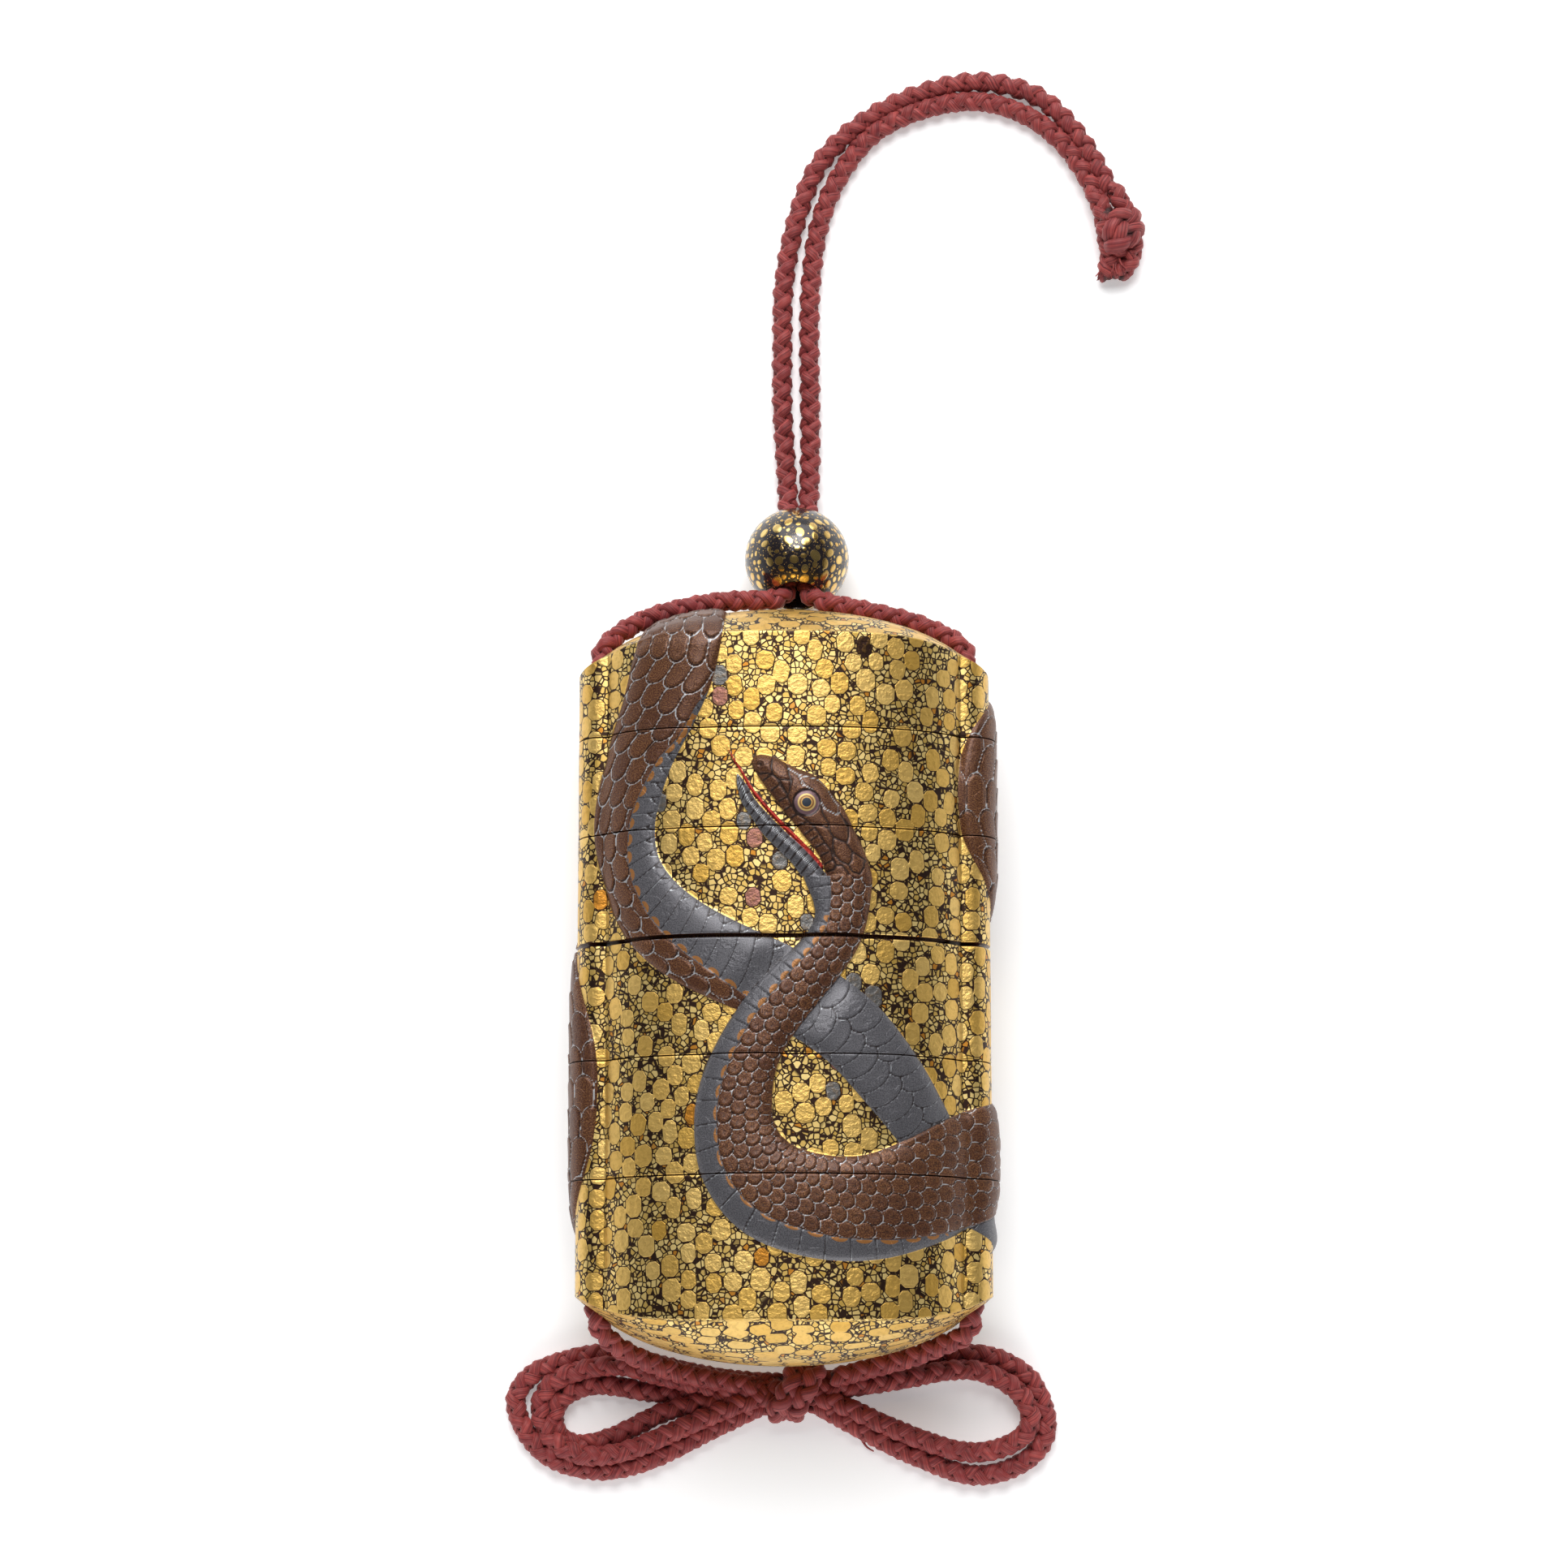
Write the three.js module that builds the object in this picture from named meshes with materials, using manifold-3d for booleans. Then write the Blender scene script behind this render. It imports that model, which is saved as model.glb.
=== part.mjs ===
// An inro: a small case of stacked lacquered boxes that hangs from a silk cord.
// A lid and five cases nest on inner risers and make one body, a flattened lens in
// section with a cord runner along each side. A snake in raised lacquer winds round
// the whole stack and is cut where the cases part. One braided cord runs from a knot
// through the bead, over the lid, down both runners and into a bow below.
//
// Millimetres. The inro lies on its back: X across, Y from the bottom end up to the
// lid, Z from the table up to the front face. The origin is on the table under the
// middle of the case.

import * as THREE from 'three';
import { mergeVertices } from 'three/addons/utils/BufferGeometryUtils.js';
import Module from 'manifold-3d';

// ---- driving dimensions ---------------------------------------------------------

const caseHalfWidth = 25;
const lensHalfWidth = 22.6;        // the lens body, as if its edge ran to a point
const lensHalfDepth = 12;
const lensPower = 2.2;
const creaseX = 21.3;              // where the lens meets the cord runners
const runnerHalfDepth = 4.6;
const runnerPower = 3;             // how square the runner's edge is
const midZ = 12.6;                 // the case's middle plane above the table

const ridgeY = 41.1;               // where the side wall turns into the end dome
const domeRise = 4.9;
const domePower = 1.16;
const ridgeDrop = 3.4;             // how far the ridge falls away towards the sides
const ridgePower = 5;

const lidHeight = 11.6;
const caseHeights = [12.1, 13.2, 14.1, 14.2, 17.0];   // from the lid down
const seamGap = 0.14;
const openSeamGap = 0.5;           // the middle seam stands slightly open
const openSeamAbove = 'case_3';

const cavityHalfWidth = 19.4;
const cavityHalfDepth = 10.0;
const riserWall = 0.8;
const riserHeight = 3.3;
const riserRoot = 1.5;             // how deep it is rooted in the case's own wall
const riserClearance = 0.3;
const recessDepth = 3.8;
const floorThickness = 1.2;
const endWall = 0.6;               // the hollow ends stop this far inside the ridge

const boreX = 22.5;                // the cord channels through the runners
const boreRadius = 1.4;
const boreSides = 12;
const mouthRadius = 2.2;           // each channel opens in a shallow dish
const mouthRows = 8;
const mouthX = boreX - 0.2;
const mouthY = ridgeY + 0.1;

const reliefEmbed = 0.8;
const headCrown = 1.1;             // how proud the snake's head stands
const dorsalCrown = 1.0;           // then its body
const crossedCrown = 0.8;          // and its body where it passes underneath

const beadRadius = 6.45;
const beadHoleRadius = 2.65;
const holeFlare = 0.8;
const beadCentre = new THREE.Vector3(1.6, 54.0, beadRadius);
const beadTilt = THREE.MathUtils.degToRad(27);

const cordRadius = 1.05;
const cordSides = 8;
const tableGap = 0.1;              // the knots and loops lie just clear of the table
const loopStack = 4.5;             // the tops of the crossed loops and of the two knots
const endKnotTop = 5.2;
const bowKnotTop = 6.4;

// ---- materials ------------------------------------------------------------------

const goldLacquer = new THREE.MeshStandardMaterial({ color: 0xc2a255, roughness: 0.35, metalness: 0.8 });
const beadLacquer = new THREE.MeshStandardMaterial({ color: 0x3a302a, roughness: 0.25, metalness: 0.3 });
const silk = new THREE.MeshStandardMaterial({ color: 0x8a3236, roughness: 0.7, metalness: 0 });

// ---- solids: three.js geometry in and out of manifold-3d --------------------------

const wasm = await Module();
wasm.setup();

function solidOf(geometry) {
  const bare = geometry.clone();
  bare.deleteAttribute('normal');
  bare.deleteAttribute('uv');
  const merged = mergeVertices(bare, 1e-5);
  const corners = merged.index.array;
  const kept = [];
  for (let i = 0; i < corners.length; i += 3) {
    const [a, b, c] = [corners[i], corners[i + 1], corners[i + 2]];
    if (a !== b && b !== c && c !== a) kept.push(a, b, c);
  }
  return new wasm.Manifold(new wasm.Mesh({
    numProp: 3,
    vertProperties: new Float32Array(merged.attributes.position.array),
    triVerts: new Uint32Array(kept),
  }));
}

function geometryOf(solid) {
  const mesh = solid.getMesh();
  const geometry = new THREE.BufferGeometry();
  geometry.setAttribute('position', new THREE.BufferAttribute(new Float32Array(mesh.vertProperties), 3));
  geometry.setIndex(new THREE.BufferAttribute(new Uint32Array(mesh.triVerts), 1));
  geometry.computeVertexNormals();
  return geometry;
}

function gridSolid(rings) {
  // quads join each ring of points to the next one, and the end rings are closed
  const count = rings[0].length;
  const positions = rings.flat().flatMap((p) => [p.x, p.y, p.z]);
  const index = [];
  for (let i = 0; i < rings.length - 1; i++) {
    for (let j = 0; j < count; j++) {
      const a = i * count + j;
      const b = i * count + ((j + 1) % count);
      const c = b + count;
      const d = a + count;
      index.push(a, b, c, a, c, d);
    }
  }
  const far = (rings.length - 1) * count;
  for (let j = 1; j < count - 1; j++) {
    index.push(0, j + 1, j);
    index.push(far, far + j, far + j + 1);
  }
  const geometry = new THREE.BufferGeometry();
  geometry.setAttribute('position', new THREE.Float32BufferAttribute(positions, 3));
  geometry.setIndex(index);
  return solidOf(geometry);
}

// ---- the body's outline and skin --------------------------------------------------

function superellipse(x, halfWidth, halfDepth) {
  return halfDepth * Math.max(0, 1 - (Math.abs(x) / halfWidth) ** lensPower) ** (1 / lensPower);
}

function halfDepthAt(x) {
  if (Math.abs(x) <= creaseX) return superellipse(x, lensHalfWidth, lensHalfDepth);
  const out = (Math.abs(x) - creaseX) / (caseHalfWidth - creaseX);
  return runnerHalfDepth * Math.sqrt(Math.max(0, 1 - out ** runnerPower));
}

function ridgeAt(x) {
  return ridgeY - ridgeDrop * (Math.abs(x) / caseHalfWidth) ** ridgePower;
}

function riseAt(x) {
  return domeRise * Math.max(0, 1 - (x / caseHalfWidth) ** 2) ** domePower;
}

// a place across the case: share 0 to 1 of the lens part, then 1 to 2 of the runner,
// with the places closer together where the section curves most
function acrossAt(share) {
  const quarterTurn = Math.PI / 2;
  if (share <= 1) return creaseX * Math.sin(share * quarterTurn);
  return creaseX + (caseHalfWidth - creaseX) * Math.sin((share - 1) * quarterTurn);
}

const lensColumns = 7;
const runnerColumns = 4;
const columns = [];
for (let k = 0; k <= lensColumns; k++) columns.push(acrossAt(k / lensColumns));
for (let k = 1; k <= runnerColumns; k++) columns.push(acrossAt(1 + k / runnerColumns));

function bodySolid() {
  const domeSteps = 6;
  const places = [...columns.slice().reverse(), ...columns.slice(1).map((x) => -x)];
  const rings = places.map((x) => {
    const ring = [];
    for (const end of [1, -1]) {
      for (let k = 0; k <= domeSteps; k++) {
        const across = end * (1 - (2 * k) / domeSteps);
        const y = end * (ridgeAt(x) + riseAt(x) * (1 - across * across));
        ring.push(new THREE.Vector3(x, y, midZ + across * halfDepthAt(x)));
      }
    }
    return ring;
  });
  return gridSolid(rings);
}

// The girth runs round the case from the middle of the front: positive to the right,
// 30 at the right edge, 60 at the middle of the back, 90 at the left edge.
const girth = [];
const girthSteps = 240;
for (let i = 0; i <= girthSteps; i++) {
  const x = acrossAt((2 * i) / girthSteps);
  const z = halfDepthAt(x);
  const last = girth[girth.length - 1];
  girth.push({ x, z, s: last ? last.s + Math.hypot(x - last.x, z - last.z) : 0 });
}
const quarterGirth = girth[girthSteps].s;

function sectionAt(s) {
  // the outline point and outward normal at girth s, folded into one quarter
  const round = ((s % (4 * quarterGirth)) + 4 * quarterGirth) % (4 * quarterGirth);
  const quarter = Math.floor(round / quarterGirth);
  const along = quarter % 2 === 0 ? round - quarter * quarterGirth : (quarter + 1) * quarterGirth - round;
  let i = 1;
  while (i < girthSteps && girth[i].s < along) i++;
  const [a, b] = [girth[i - 1], girth[i]];
  const mix = Math.min(1, (along - a.s) / (b.s - a.s));
  const length = Math.hypot(b.x - a.x, b.z - a.z);
  const signX = quarter < 2 ? 1 : -1;
  const signZ = quarter === 0 || quarter === 3 ? 1 : -1;
  return {
    x: signX * (a.x + (b.x - a.x) * mix),
    z: signZ * (a.z + (b.z - a.z) * mix),
    nx: (signX * (a.z - b.z)) / length,
    nz: (signZ * (b.x - a.x)) / length,
  };
}

// a place on the side wall, given by girth and height, lifted off the surface
function onSide(s, y, lift) {
  const at = sectionAt(s);
  return new THREE.Vector3(at.x + at.nx * lift, y, midZ + at.z + at.nz * lift);
}

// the same over the lid: t is 0 at the front ridge and overTop at the back ridge
const overTop = 22;

function onTop(s, t, lift) {
  const { x } = sectionAt(s);
  const half = halfDepthAt(x);
  if (t <= 0) return new THREE.Vector3(x, ridgeAt(x) + t, midZ + half + lift);
  if (t >= overTop) return new THREE.Vector3(x, ridgeAt(x) - (t - overTop), midZ - half - lift);
  const across = 1 - (2 * t) / overTop;
  const normal = new THREE.Vector2((2 * riseAt(x) * across) / half, 1).normalize();
  return new THREE.Vector3(
    x,
    ridgeAt(x) + riseAt(x) * (1 - across * across) + normal.y * lift,
    midZ + across * half + normal.x * lift,
  );
}

// ---- the snake ---------------------------------------------------------------------
// Each stretch is a centre line on the surface: [girth, height, half width].

const neckAndCoils = [
  [7.4, 12.2, 4.0], [7.0, 8.2, 3.4], [6.6, 5.4, 3.0], [5.2, 2.6, 3.1], [1.5, -1.6, 3.4],
  [-2.1, -6.0, 3.6], [-4.5, -10.3, 3.8], [-5.8, -14.8, 4.4], [-5.9, -18.7, 4.7],
  [-4.7, -22.6, 5.3], [-1.6, -26.0, 5.8], [3.8, -27.9, 6.0], [10.3, -28.0, 6.2],
  [17.0, -25.9, 6.4], [23.6, -23.0, 6.6], [29.5, -21.3, 6.6], [37.0, -20.5, 6.5],
  [45.0, -21.5, 6.4], [53.0, -24.0, 6.4], [61.0, -26.5, 6.3], [69.0, -28.0, 6.3],
  [77.0, -28.5, 6.2], [84.0, -26.5, 6.2], [88.8, -21.5, 6.2], [90.2, -14.5, 6.2],
  [89.6, -7.5, 6.2], [86.5, -1.0, 6.2], [81.0, 4.0, 6.2], [73.5, 7.0, 6.2],
  [65.0, 8.0, 6.2], [56.5, 8.0, 6.2], [48.0, 8.5, 6.2], [40.0, 10.5, 6.2],
  [33.5, 14.0, 6.2], [29.6, 19.0, 6.2], [29.3, 25.0, 6.2], [32.5, 30.2, 6.1],
  [39.0, 32.8, 6.0], [47.0, 33.2, 5.9], [55.0, 32.2, 5.8], [62.5, 31.8, 5.7],
  [69.0, 33.6, 5.6], [72.6, 37.4, 5.6], [73.4, 41.0, 5.5],
];
const overTheLid = [
  [-13.0, 26.0, 5.5], [-12.8, 19.0, 5.5], [-12.4, 11.0, 5.4], [-12.5, 4.0, 5.4],
  [-12.9, -0.5, 5.4], [-14.2, -5.0, 5.4],
];
const frontAndTail = [
  [-13.3, 39.0, 5.4], [-14.2, 36.0, 5.5], [-16.0, 31.3, 5.1], [-18.2, 26.8, 4.9],
  [-19.8, 22.0, 4.8], [-20.4, 17.5, 4.6], [-19.4, 12.5, 4.4], [-16.7, 8.0, 4.6],
  [-12.4, 4.2, 4.8], [-6.0, 0.7, 4.8], [-2.0, -1.0, 4.7], [2.9, -3.6, 4.6],
  [8.2, -7.5, 4.5], [13.0, -12.9, 4.3], [17.0, -18.0, 3.9], [21.0, -23.0, 3.6],
  [26.0, -27.0, 3.4], [32.0, -29.5, 3.2], [38.5, -31.8, 2.8], [46.0, -34.2, 2.3],
  [54.0, -36.4, 1.7], [61.0, -37.0, 1.1], [67.0, -35.5, 0.5],
];
const upperHead = [
  [-3.4, 25.5, 0.6], [-1.0, 23.6, 2.0], [1.1, 22.0, 2.6], [3.4, 20.1, 2.9],
  [5.6, 17.2, 2.7], [7.1, 14.4, 2.8], [7.5, 11.6, 3.0],
];
const lowerJaw = [
  [-5.4, 22.8, 0.4], [-4.2, 20.1, 0.9], [-2.3, 18.0, 1.05], [0.0, 15.5, 1.2],
  [2.2, 13.0, 1.5], [4.4, 10.4, 2.2],
];

// a pillow section across the body: [share of the half width, share of the crown]
const pillow = [[-1, 0.12], [-0.66, 0.76], [0, 0.96], [0.66, 0.76], [1, 0.12]];
const thinnestCrown = 0.1;
const crownPerWidth = 0.35;        // the tail lies lower as it narrows
const bodyStep = 6.2;              // from one section to the next along it
const lidStep = 4.2;
const headStep = 3.1;

function reliefSolid(route, place, crown, spacing) {
  const line = new THREE.CatmullRomCurve3(route.map((p) => new THREE.Vector3(...p)), false, 'centripetal');
  const steps = Math.max(4, Math.round(line.getLength() / spacing));
  const rings = [];
  for (let i = 0; i <= steps; i++) {
    const centre = line.getPointAt(i / steps);
    const way = line.getTangentAt(i / steps);
    const side = new THREE.Vector2(-way.y, way.x).normalize();
    const height = Math.min(crown, thinnestCrown + crownPerWidth * centre.z);
    const at = (share, lift) => place(
      centre.x + side.x * share * centre.z,
      centre.y + side.y * share * centre.z,
      lift,
    );
    const ring = pillow.map(([share, part]) => at(share, part * height));
    ring.push(at(1, -reliefEmbed), at(-1, -reliefEmbed));
    rings.push(ring.reverse());
  }
  return gridSolid(rings);
}

// ---- the stack -----------------------------------------------------------------------

function placed(geometry, x, y, z) {
  geometry.translate(x, y, z);
  return solidOf(geometry);
}

// everything between two heights that is above the table: the relief on the back is
// rubbed flat where the case rests on it
function slab(low, high) {
  const box = new THREE.BoxGeometry(4 * caseHalfWidth, high - low, 4 * midZ);
  return placed(box, 0, (low + high) / 2, 2 * midZ);
}

function lensPrism(halfWidth, halfDepth, low, high) {
  const cornersPerQuarter = 7;
  const corners = [];
  for (let k = 0; k < 4 * cornersPerQuarter; k++) {
    const turn = (k / cornersPerQuarter) * (Math.PI / 2);
    const side = k % (2 * cornersPerQuarter) === 0 ? 0 : Math.sign(Math.sin(turn));
    const x = halfWidth * Math.cos(turn);
    corners.push(new THREE.Vector2(x, side * superellipse(x, halfWidth, halfDepth)));
  }
  const outline = new THREE.Shape(corners);
  const geometry = new THREE.ExtrudeGeometry(outline, { depth: high - low, bevelEnabled: false, steps: 1 });
  geometry.rotateX(-Math.PI / 2);
  return placed(geometry, 0, low, midZ);
}

let whole = bodySolid();
const stretches = [
  reliefSolid(frontAndTail, onSide, crossedCrown, bodyStep),
  reliefSolid(overTheLid, onTop, crossedCrown, lidStep),
  reliefSolid(neckAndCoils, onSide, dorsalCrown, bodyStep),
  reliefSolid(upperHead, onSide, headCrown, headStep),
  reliefSolid(lowerJaw, onSide, crossedCrown, headStep),
];
for (const stretch of stretches) whole = whole.add(stretch);

for (const side of [-1, 1]) {
  const channel = new THREE.CylinderGeometry(boreRadius, boreRadius, 4 * ridgeY, boreSides);
  whole = whole.subtract(placed(channel, side * boreX, 0, midZ));
  for (const end of [-1, 1]) {
    const mouth = new THREE.SphereGeometry(mouthRadius, boreSides, mouthRows);
    whole = whole.subtract(placed(mouth, side * mouthX, end * mouthY, midZ));
  }
}

const inro = new THREE.Group();
const wellClear = 20;              // cuts run this far past the faces that they open

function addPiece(name, solid, material) {
  const mesh = new THREE.Mesh(geometryOf(solid), material);
  mesh.name = name;
  inro.add(mesh);
}

function hollow(low, high) {
  return lensPrism(cavityHalfWidth, cavityHalfDepth, low, high);
}

// the recess that takes the riser of the piece below
function recess(seam) {
  return lensPrism(
    cavityHalfWidth + riserWall + riserClearance,
    cavityHalfDepth + riserWall + riserClearance,
    seam - 1,
    seam + recessDepth,
  );
}

const lidLow = ridgeY - lidHeight;
const lid = whole
  .intersect(slab(lidLow + seamGap / 2, ridgeY + wellClear))
  .subtract(hollow(lidLow - 1, ridgeY - endWall))
  .subtract(recess(lidLow));
addPiece('lid', lid, goldLacquer);

let top = lidLow;
caseHeights.forEach((height, k) => {
  const name = `case_${k + 1}`;
  const low = top - height;
  const isBottom = k === caseHeights.length - 1;
  const gapAbove = (name === openSeamAbove ? openSeamGap : seamGap) / 2;
  const gapBelow = (`case_${k + 2}` === openSeamAbove ? openSeamGap : seamGap) / 2;
  const cutLow = isBottom ? low - wellClear : low + gapBelow;
  const riser = lensPrism(
    cavityHalfWidth + riserWall,
    cavityHalfDepth + riserWall,
    top - gapAbove - riserRoot,
    top + riserHeight,
  );
  const floor = isBottom ? -ridgeY + endWall : low + recessDepth + floorThickness;
  let piece = whole
    .intersect(slab(cutLow, top - gapAbove))
    .add(riser)
    .subtract(hollow(floor, top + wellClear));
  if (!isBottom) piece = piece.subtract(recess(low));
  addPiece(name, piece, goldLacquer);
  top = low;
});

// ---- the bead: bored through, its lower hole turned up towards the lid ------------------

const beadAxis = new THREE.Vector3(0, Math.cos(beadTilt), -Math.sin(beadTilt));
const uprightToBead = new THREE.Quaternion().setFromUnitVectors(new THREE.Vector3(0, 1, 0), beadAxis);

const beadProfile = [];
const beadSteps = 10;
const beadSides = 24;
const mouthAngle = Math.asin((beadHoleRadius + holeFlare) / beadRadius);
for (let k = 0; k <= beadSteps; k++) {
  const angle = -Math.PI / 2 + mouthAngle + (k / beadSteps) * (Math.PI - 2 * mouthAngle);
  beadProfile.push(new THREE.Vector2(beadRadius * Math.cos(angle), beadRadius * Math.sin(angle)));
}
const straightHole = beadRadius * Math.cos(mouthAngle) - holeFlare;
beadProfile.push(new THREE.Vector2(beadHoleRadius, straightHole));
beadProfile.push(new THREE.Vector2(beadHoleRadius, -straightHole));
beadProfile.push(beadProfile[0].clone());
const beadGeometry = new THREE.LatheGeometry(beadProfile, beadSides);
beadGeometry.applyQuaternion(uprightToBead);
const beadFoot = 0.12;             // the height of the small flat that it rests on
const aboveFoot = new THREE.BoxGeometry(4 * beadRadius, 4 * beadRadius, 4 * beadRadius);
const bead = placed(beadGeometry, beadCentre.x, beadCentre.y, beadCentre.z)
  .intersect(placed(aboveFoot, beadCentre.x, beadCentre.y, beadFoot + 2 * beadRadius));
addPiece('ojime_bead', bead, beadLacquer);

// ---- the cord -----------------------------------------------------------------------------
// Each half runs from the bow, up a runner, over the lid, through the bead and on to
// the end knot. It is swept with one step from each route point to the next.

class Route extends THREE.CatmullRomCurve3 {
  getUtoTmapping(u) {
    return u;
  }
}

function cordTube(points) {
  const route = new Route(points.map((p) => new THREE.Vector3(...p)), false, 'centripetal');
  const cornerRadius = cordRadius / Math.sqrt(Math.cos(Math.PI / cordSides));
  const corners = [];
  for (let k = 0; k < cordSides; k++) {
    const turn = ((k + 0.5) / cordSides) * 2 * Math.PI;
    corners.push(new THREE.Vector2(cornerRadius * Math.cos(turn), cornerRadius * Math.sin(turn)));
  }
  const section = new THREE.Shape(corners);
  return new THREE.ExtrudeGeometry(section, { steps: points.length - 1, extrudePath: route, bevelEnabled: false });
}

const leftRoute = [
  [-3.4, -47.9, 3.1], [-8.0, -47.2, 3.5], [-12.8, -46.3, 4.7], [-16.2, -45.2, 6.8],
  [-19.3, -43.9, 9.4], [-21.4, -42.3, 11.6], [-22.4, -40.4, 12.6], [-22.5, -37.0, 12.6],
  [-22.5, 37.0, 12.6], [-22.5, 39.6, 12.6], [-22.0, 41.5, 12.5], [-20.6, 43.1, 11.9],
  [-18.4, 44.7, 11.3], [-15.6, 46.0, 10.9], [-12.4, 46.9, 10.7], [-8.9, 47.6, 10.6],
  [-5.2, 47.9, 10.6], [-2.2, 48.0, 10.4], [-0.3, 48.5, 9.7], [0.3, 49.9, 8.6],
  [0.4, 54.0, 6.45], [0.4, 59.0, 3.9], [0.5, 62.6, 2.0], [0.2, 68.0, 1.2],
  [-0.2, 75.0, 1.15], [-0.2, 83.0, 1.15], [0.0, 91.0, 1.15], [1.6, 99.5, 1.15],
  [4.6, 107.0, 1.15], [10.0, 112.8, 1.15], [17.4, 116.5, 1.15], [25.2, 117.8, 1.15],
  [32.6, 116.0, 1.2], [37.4, 111.6, 1.6], [40.4, 106.6, 2.0], [42.2, 102.3, 2.4],
];
const rightRoute = [
  [6.1, -46.9, 3.2], [11.2, -45.6, 4.5], [15.6, -44.5, 6.3], [19.2, -43.2, 8.8],
  [21.5, -42.3, 11.2], [22.5, -40.5, 12.3], [22.5, -37.0, 12.6], [22.5, 37.0, 12.6],
  [22.5, 39.5, 12.6], [22.0, 41.3, 12.5], [20.6, 42.7, 12.0], [18.4, 43.9, 11.5],
  [15.5, 45.1, 11.2], [12.2, 46.0, 11.0], [8.8, 46.8, 10.9], [5.7, 47.5, 10.7],
  [3.6, 48.5, 9.8], [2.9, 49.9, 8.6], [2.8, 54.0, 6.45], [2.8, 59.0, 3.9],
  [3.1, 62.6, 2.0], [3.3, 68.0, 1.2], [3.3, 75.0, 1.15], [3.2, 83.0, 1.15],
  [3.4, 91.0, 1.15], [4.5, 98.8, 1.15], [6.9, 105.0, 1.15], [11.6, 110.6, 1.15],
  [18.0, 114.0, 1.15], [25.0, 115.2, 1.15], [31.2, 113.2, 1.2], [35.2, 109.3, 1.5],
  [37.9, 105.4, 1.8], [39.6, 102.0, 2.2],
];
addPiece('cord_left', solidOf(cordTube(leftRoute)), silk);
addPiece('cord_right', solidOf(cordTube(rightRoute)), silk);

// ---- knots and loops: plain solids of the cord's outer shape ------------------------------

const lumpEdge = 0.8;              // the bevel round each of them

function lump(points, high) {
  const outline = new THREE.CatmullRomCurve3(points.map(([x, y]) => new THREE.Vector3(x, y, 0)), true);
  const corners = outline.getSpacedPoints(points.length * 2).slice(0, -1);
  const geometry = new THREE.ExtrudeGeometry(new THREE.Shape(corners), {
    depth: high - tableGap - 2 * lumpEdge,
    bevelEnabled: true,
    bevelThickness: lumpEdge,
    bevelSize: lumpEdge,
    bevelOffset: -lumpEdge,
    bevelSegments: 1,
  });
  return placed(geometry, 0, 0, tableGap + lumpEdge);
}

const endKnot = [[40.2, 100.9], [43.0, 101.1], [45.4, 98.4], [45.6, 94.2], [44.0, 91.4], [41.2, 91.4],
  [40.0, 94.4], [39.4, 98.2]];
const bowKnot = [[-2.2, -47.0], [-1.0, -45.4], [3.0, -45.2], [4.8, -46.8], [5.0, -50.2], [3.2, -51.8],
  [-0.6, -51.8], [-2.2, -50.0]];
const leftLoops = [[-3.0, -49.6], [-8.0, -49.2], [-13.0, -48.2], [-16.6, -46.6], [-19.5, -45.6], [-25.4, -43.4],
  [-31.2, -45.1], [-34.0, -49.6], [-32.6, -54.4], [-29.0, -57.6], [-22.8, -59.0], [-16.0, -57.6], [-9.0, -54.4],
  [-3.0, -51.6]];
const rightLoops = [[5.9, -49.0], [10.6, -48.0], [15.6, -46.8], [19.4, -45.4], [24.0, -42.8], [29.0, -44.6],
  [32.2, -48.6], [33.4, -53.0], [31.6, -57.4], [27.0, -59.4], [21.4, -59.4], [15.4, -57.2], [10.0, -54.4],
  [5.9, -51.8]];
addPiece('end_knot', lump(endKnot, endKnotTop), silk);
addPiece('bow_knot', lump(bowKnot, bowKnotTop), silk);
addPiece('bow_loops_left', lump(leftLoops, loopStack), silk);
addPiece('bow_loops_right', lump(rightLoops, loopStack), silk);

export default inro;
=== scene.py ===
import math

import bpy
import numpy as np
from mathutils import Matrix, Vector
from mathutils.geometry import tessellate_polygon
from mathutils.kdtree import KDTree


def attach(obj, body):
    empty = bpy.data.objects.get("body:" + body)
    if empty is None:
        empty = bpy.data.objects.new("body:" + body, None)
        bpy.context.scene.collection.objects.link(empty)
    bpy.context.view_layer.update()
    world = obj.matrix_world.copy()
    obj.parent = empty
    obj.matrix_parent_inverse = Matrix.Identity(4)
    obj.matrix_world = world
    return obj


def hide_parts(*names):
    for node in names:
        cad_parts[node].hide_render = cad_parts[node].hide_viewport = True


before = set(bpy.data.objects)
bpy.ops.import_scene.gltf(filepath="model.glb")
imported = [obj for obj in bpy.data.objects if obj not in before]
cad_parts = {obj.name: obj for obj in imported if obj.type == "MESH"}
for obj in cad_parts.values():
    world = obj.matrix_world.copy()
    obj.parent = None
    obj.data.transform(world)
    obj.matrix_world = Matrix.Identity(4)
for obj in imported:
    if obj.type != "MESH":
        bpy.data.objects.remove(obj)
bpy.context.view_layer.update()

# ---- The table and the light ----------------------------------------------------
# The inro lies on its back on a plain white table. Two softboxes stand beyond its
# upper end and a low one on the near side; the walls are pale, the ceiling is dim.

table_half = 3.0        # metres, as are all the sizes in this section
table_mesh = bpy.data.meshes.new("table_top")
corners = ((-1, -1), (1, -1), (1, 1), (-1, 1))
table_mesh.from_pydata([(x * table_half, y * table_half, 0) for x, y in corners], [], [(0, 1, 2, 3)])
table_top = bpy.data.objects.new("table_top", table_mesh)
bpy.context.collection.objects.link(table_top)
white_card = bpy.data.materials.new("white_card")
white_card.use_nodes = True
card = white_card.node_tree.nodes["Principled BSDF"]
card.inputs["Base Color"].default_value = (0.93, 0.93, 0.935, 1)
card.inputs["Roughness"].default_value = 0.75
card.inputs["Specular IOR Level"].default_value = 0.1
card.inputs["Emission Color"].default_value = (1, 1, 1, 1)
card.inputs["Emission Strength"].default_value = 0.28
table_mesh.materials.append(white_card)

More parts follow.
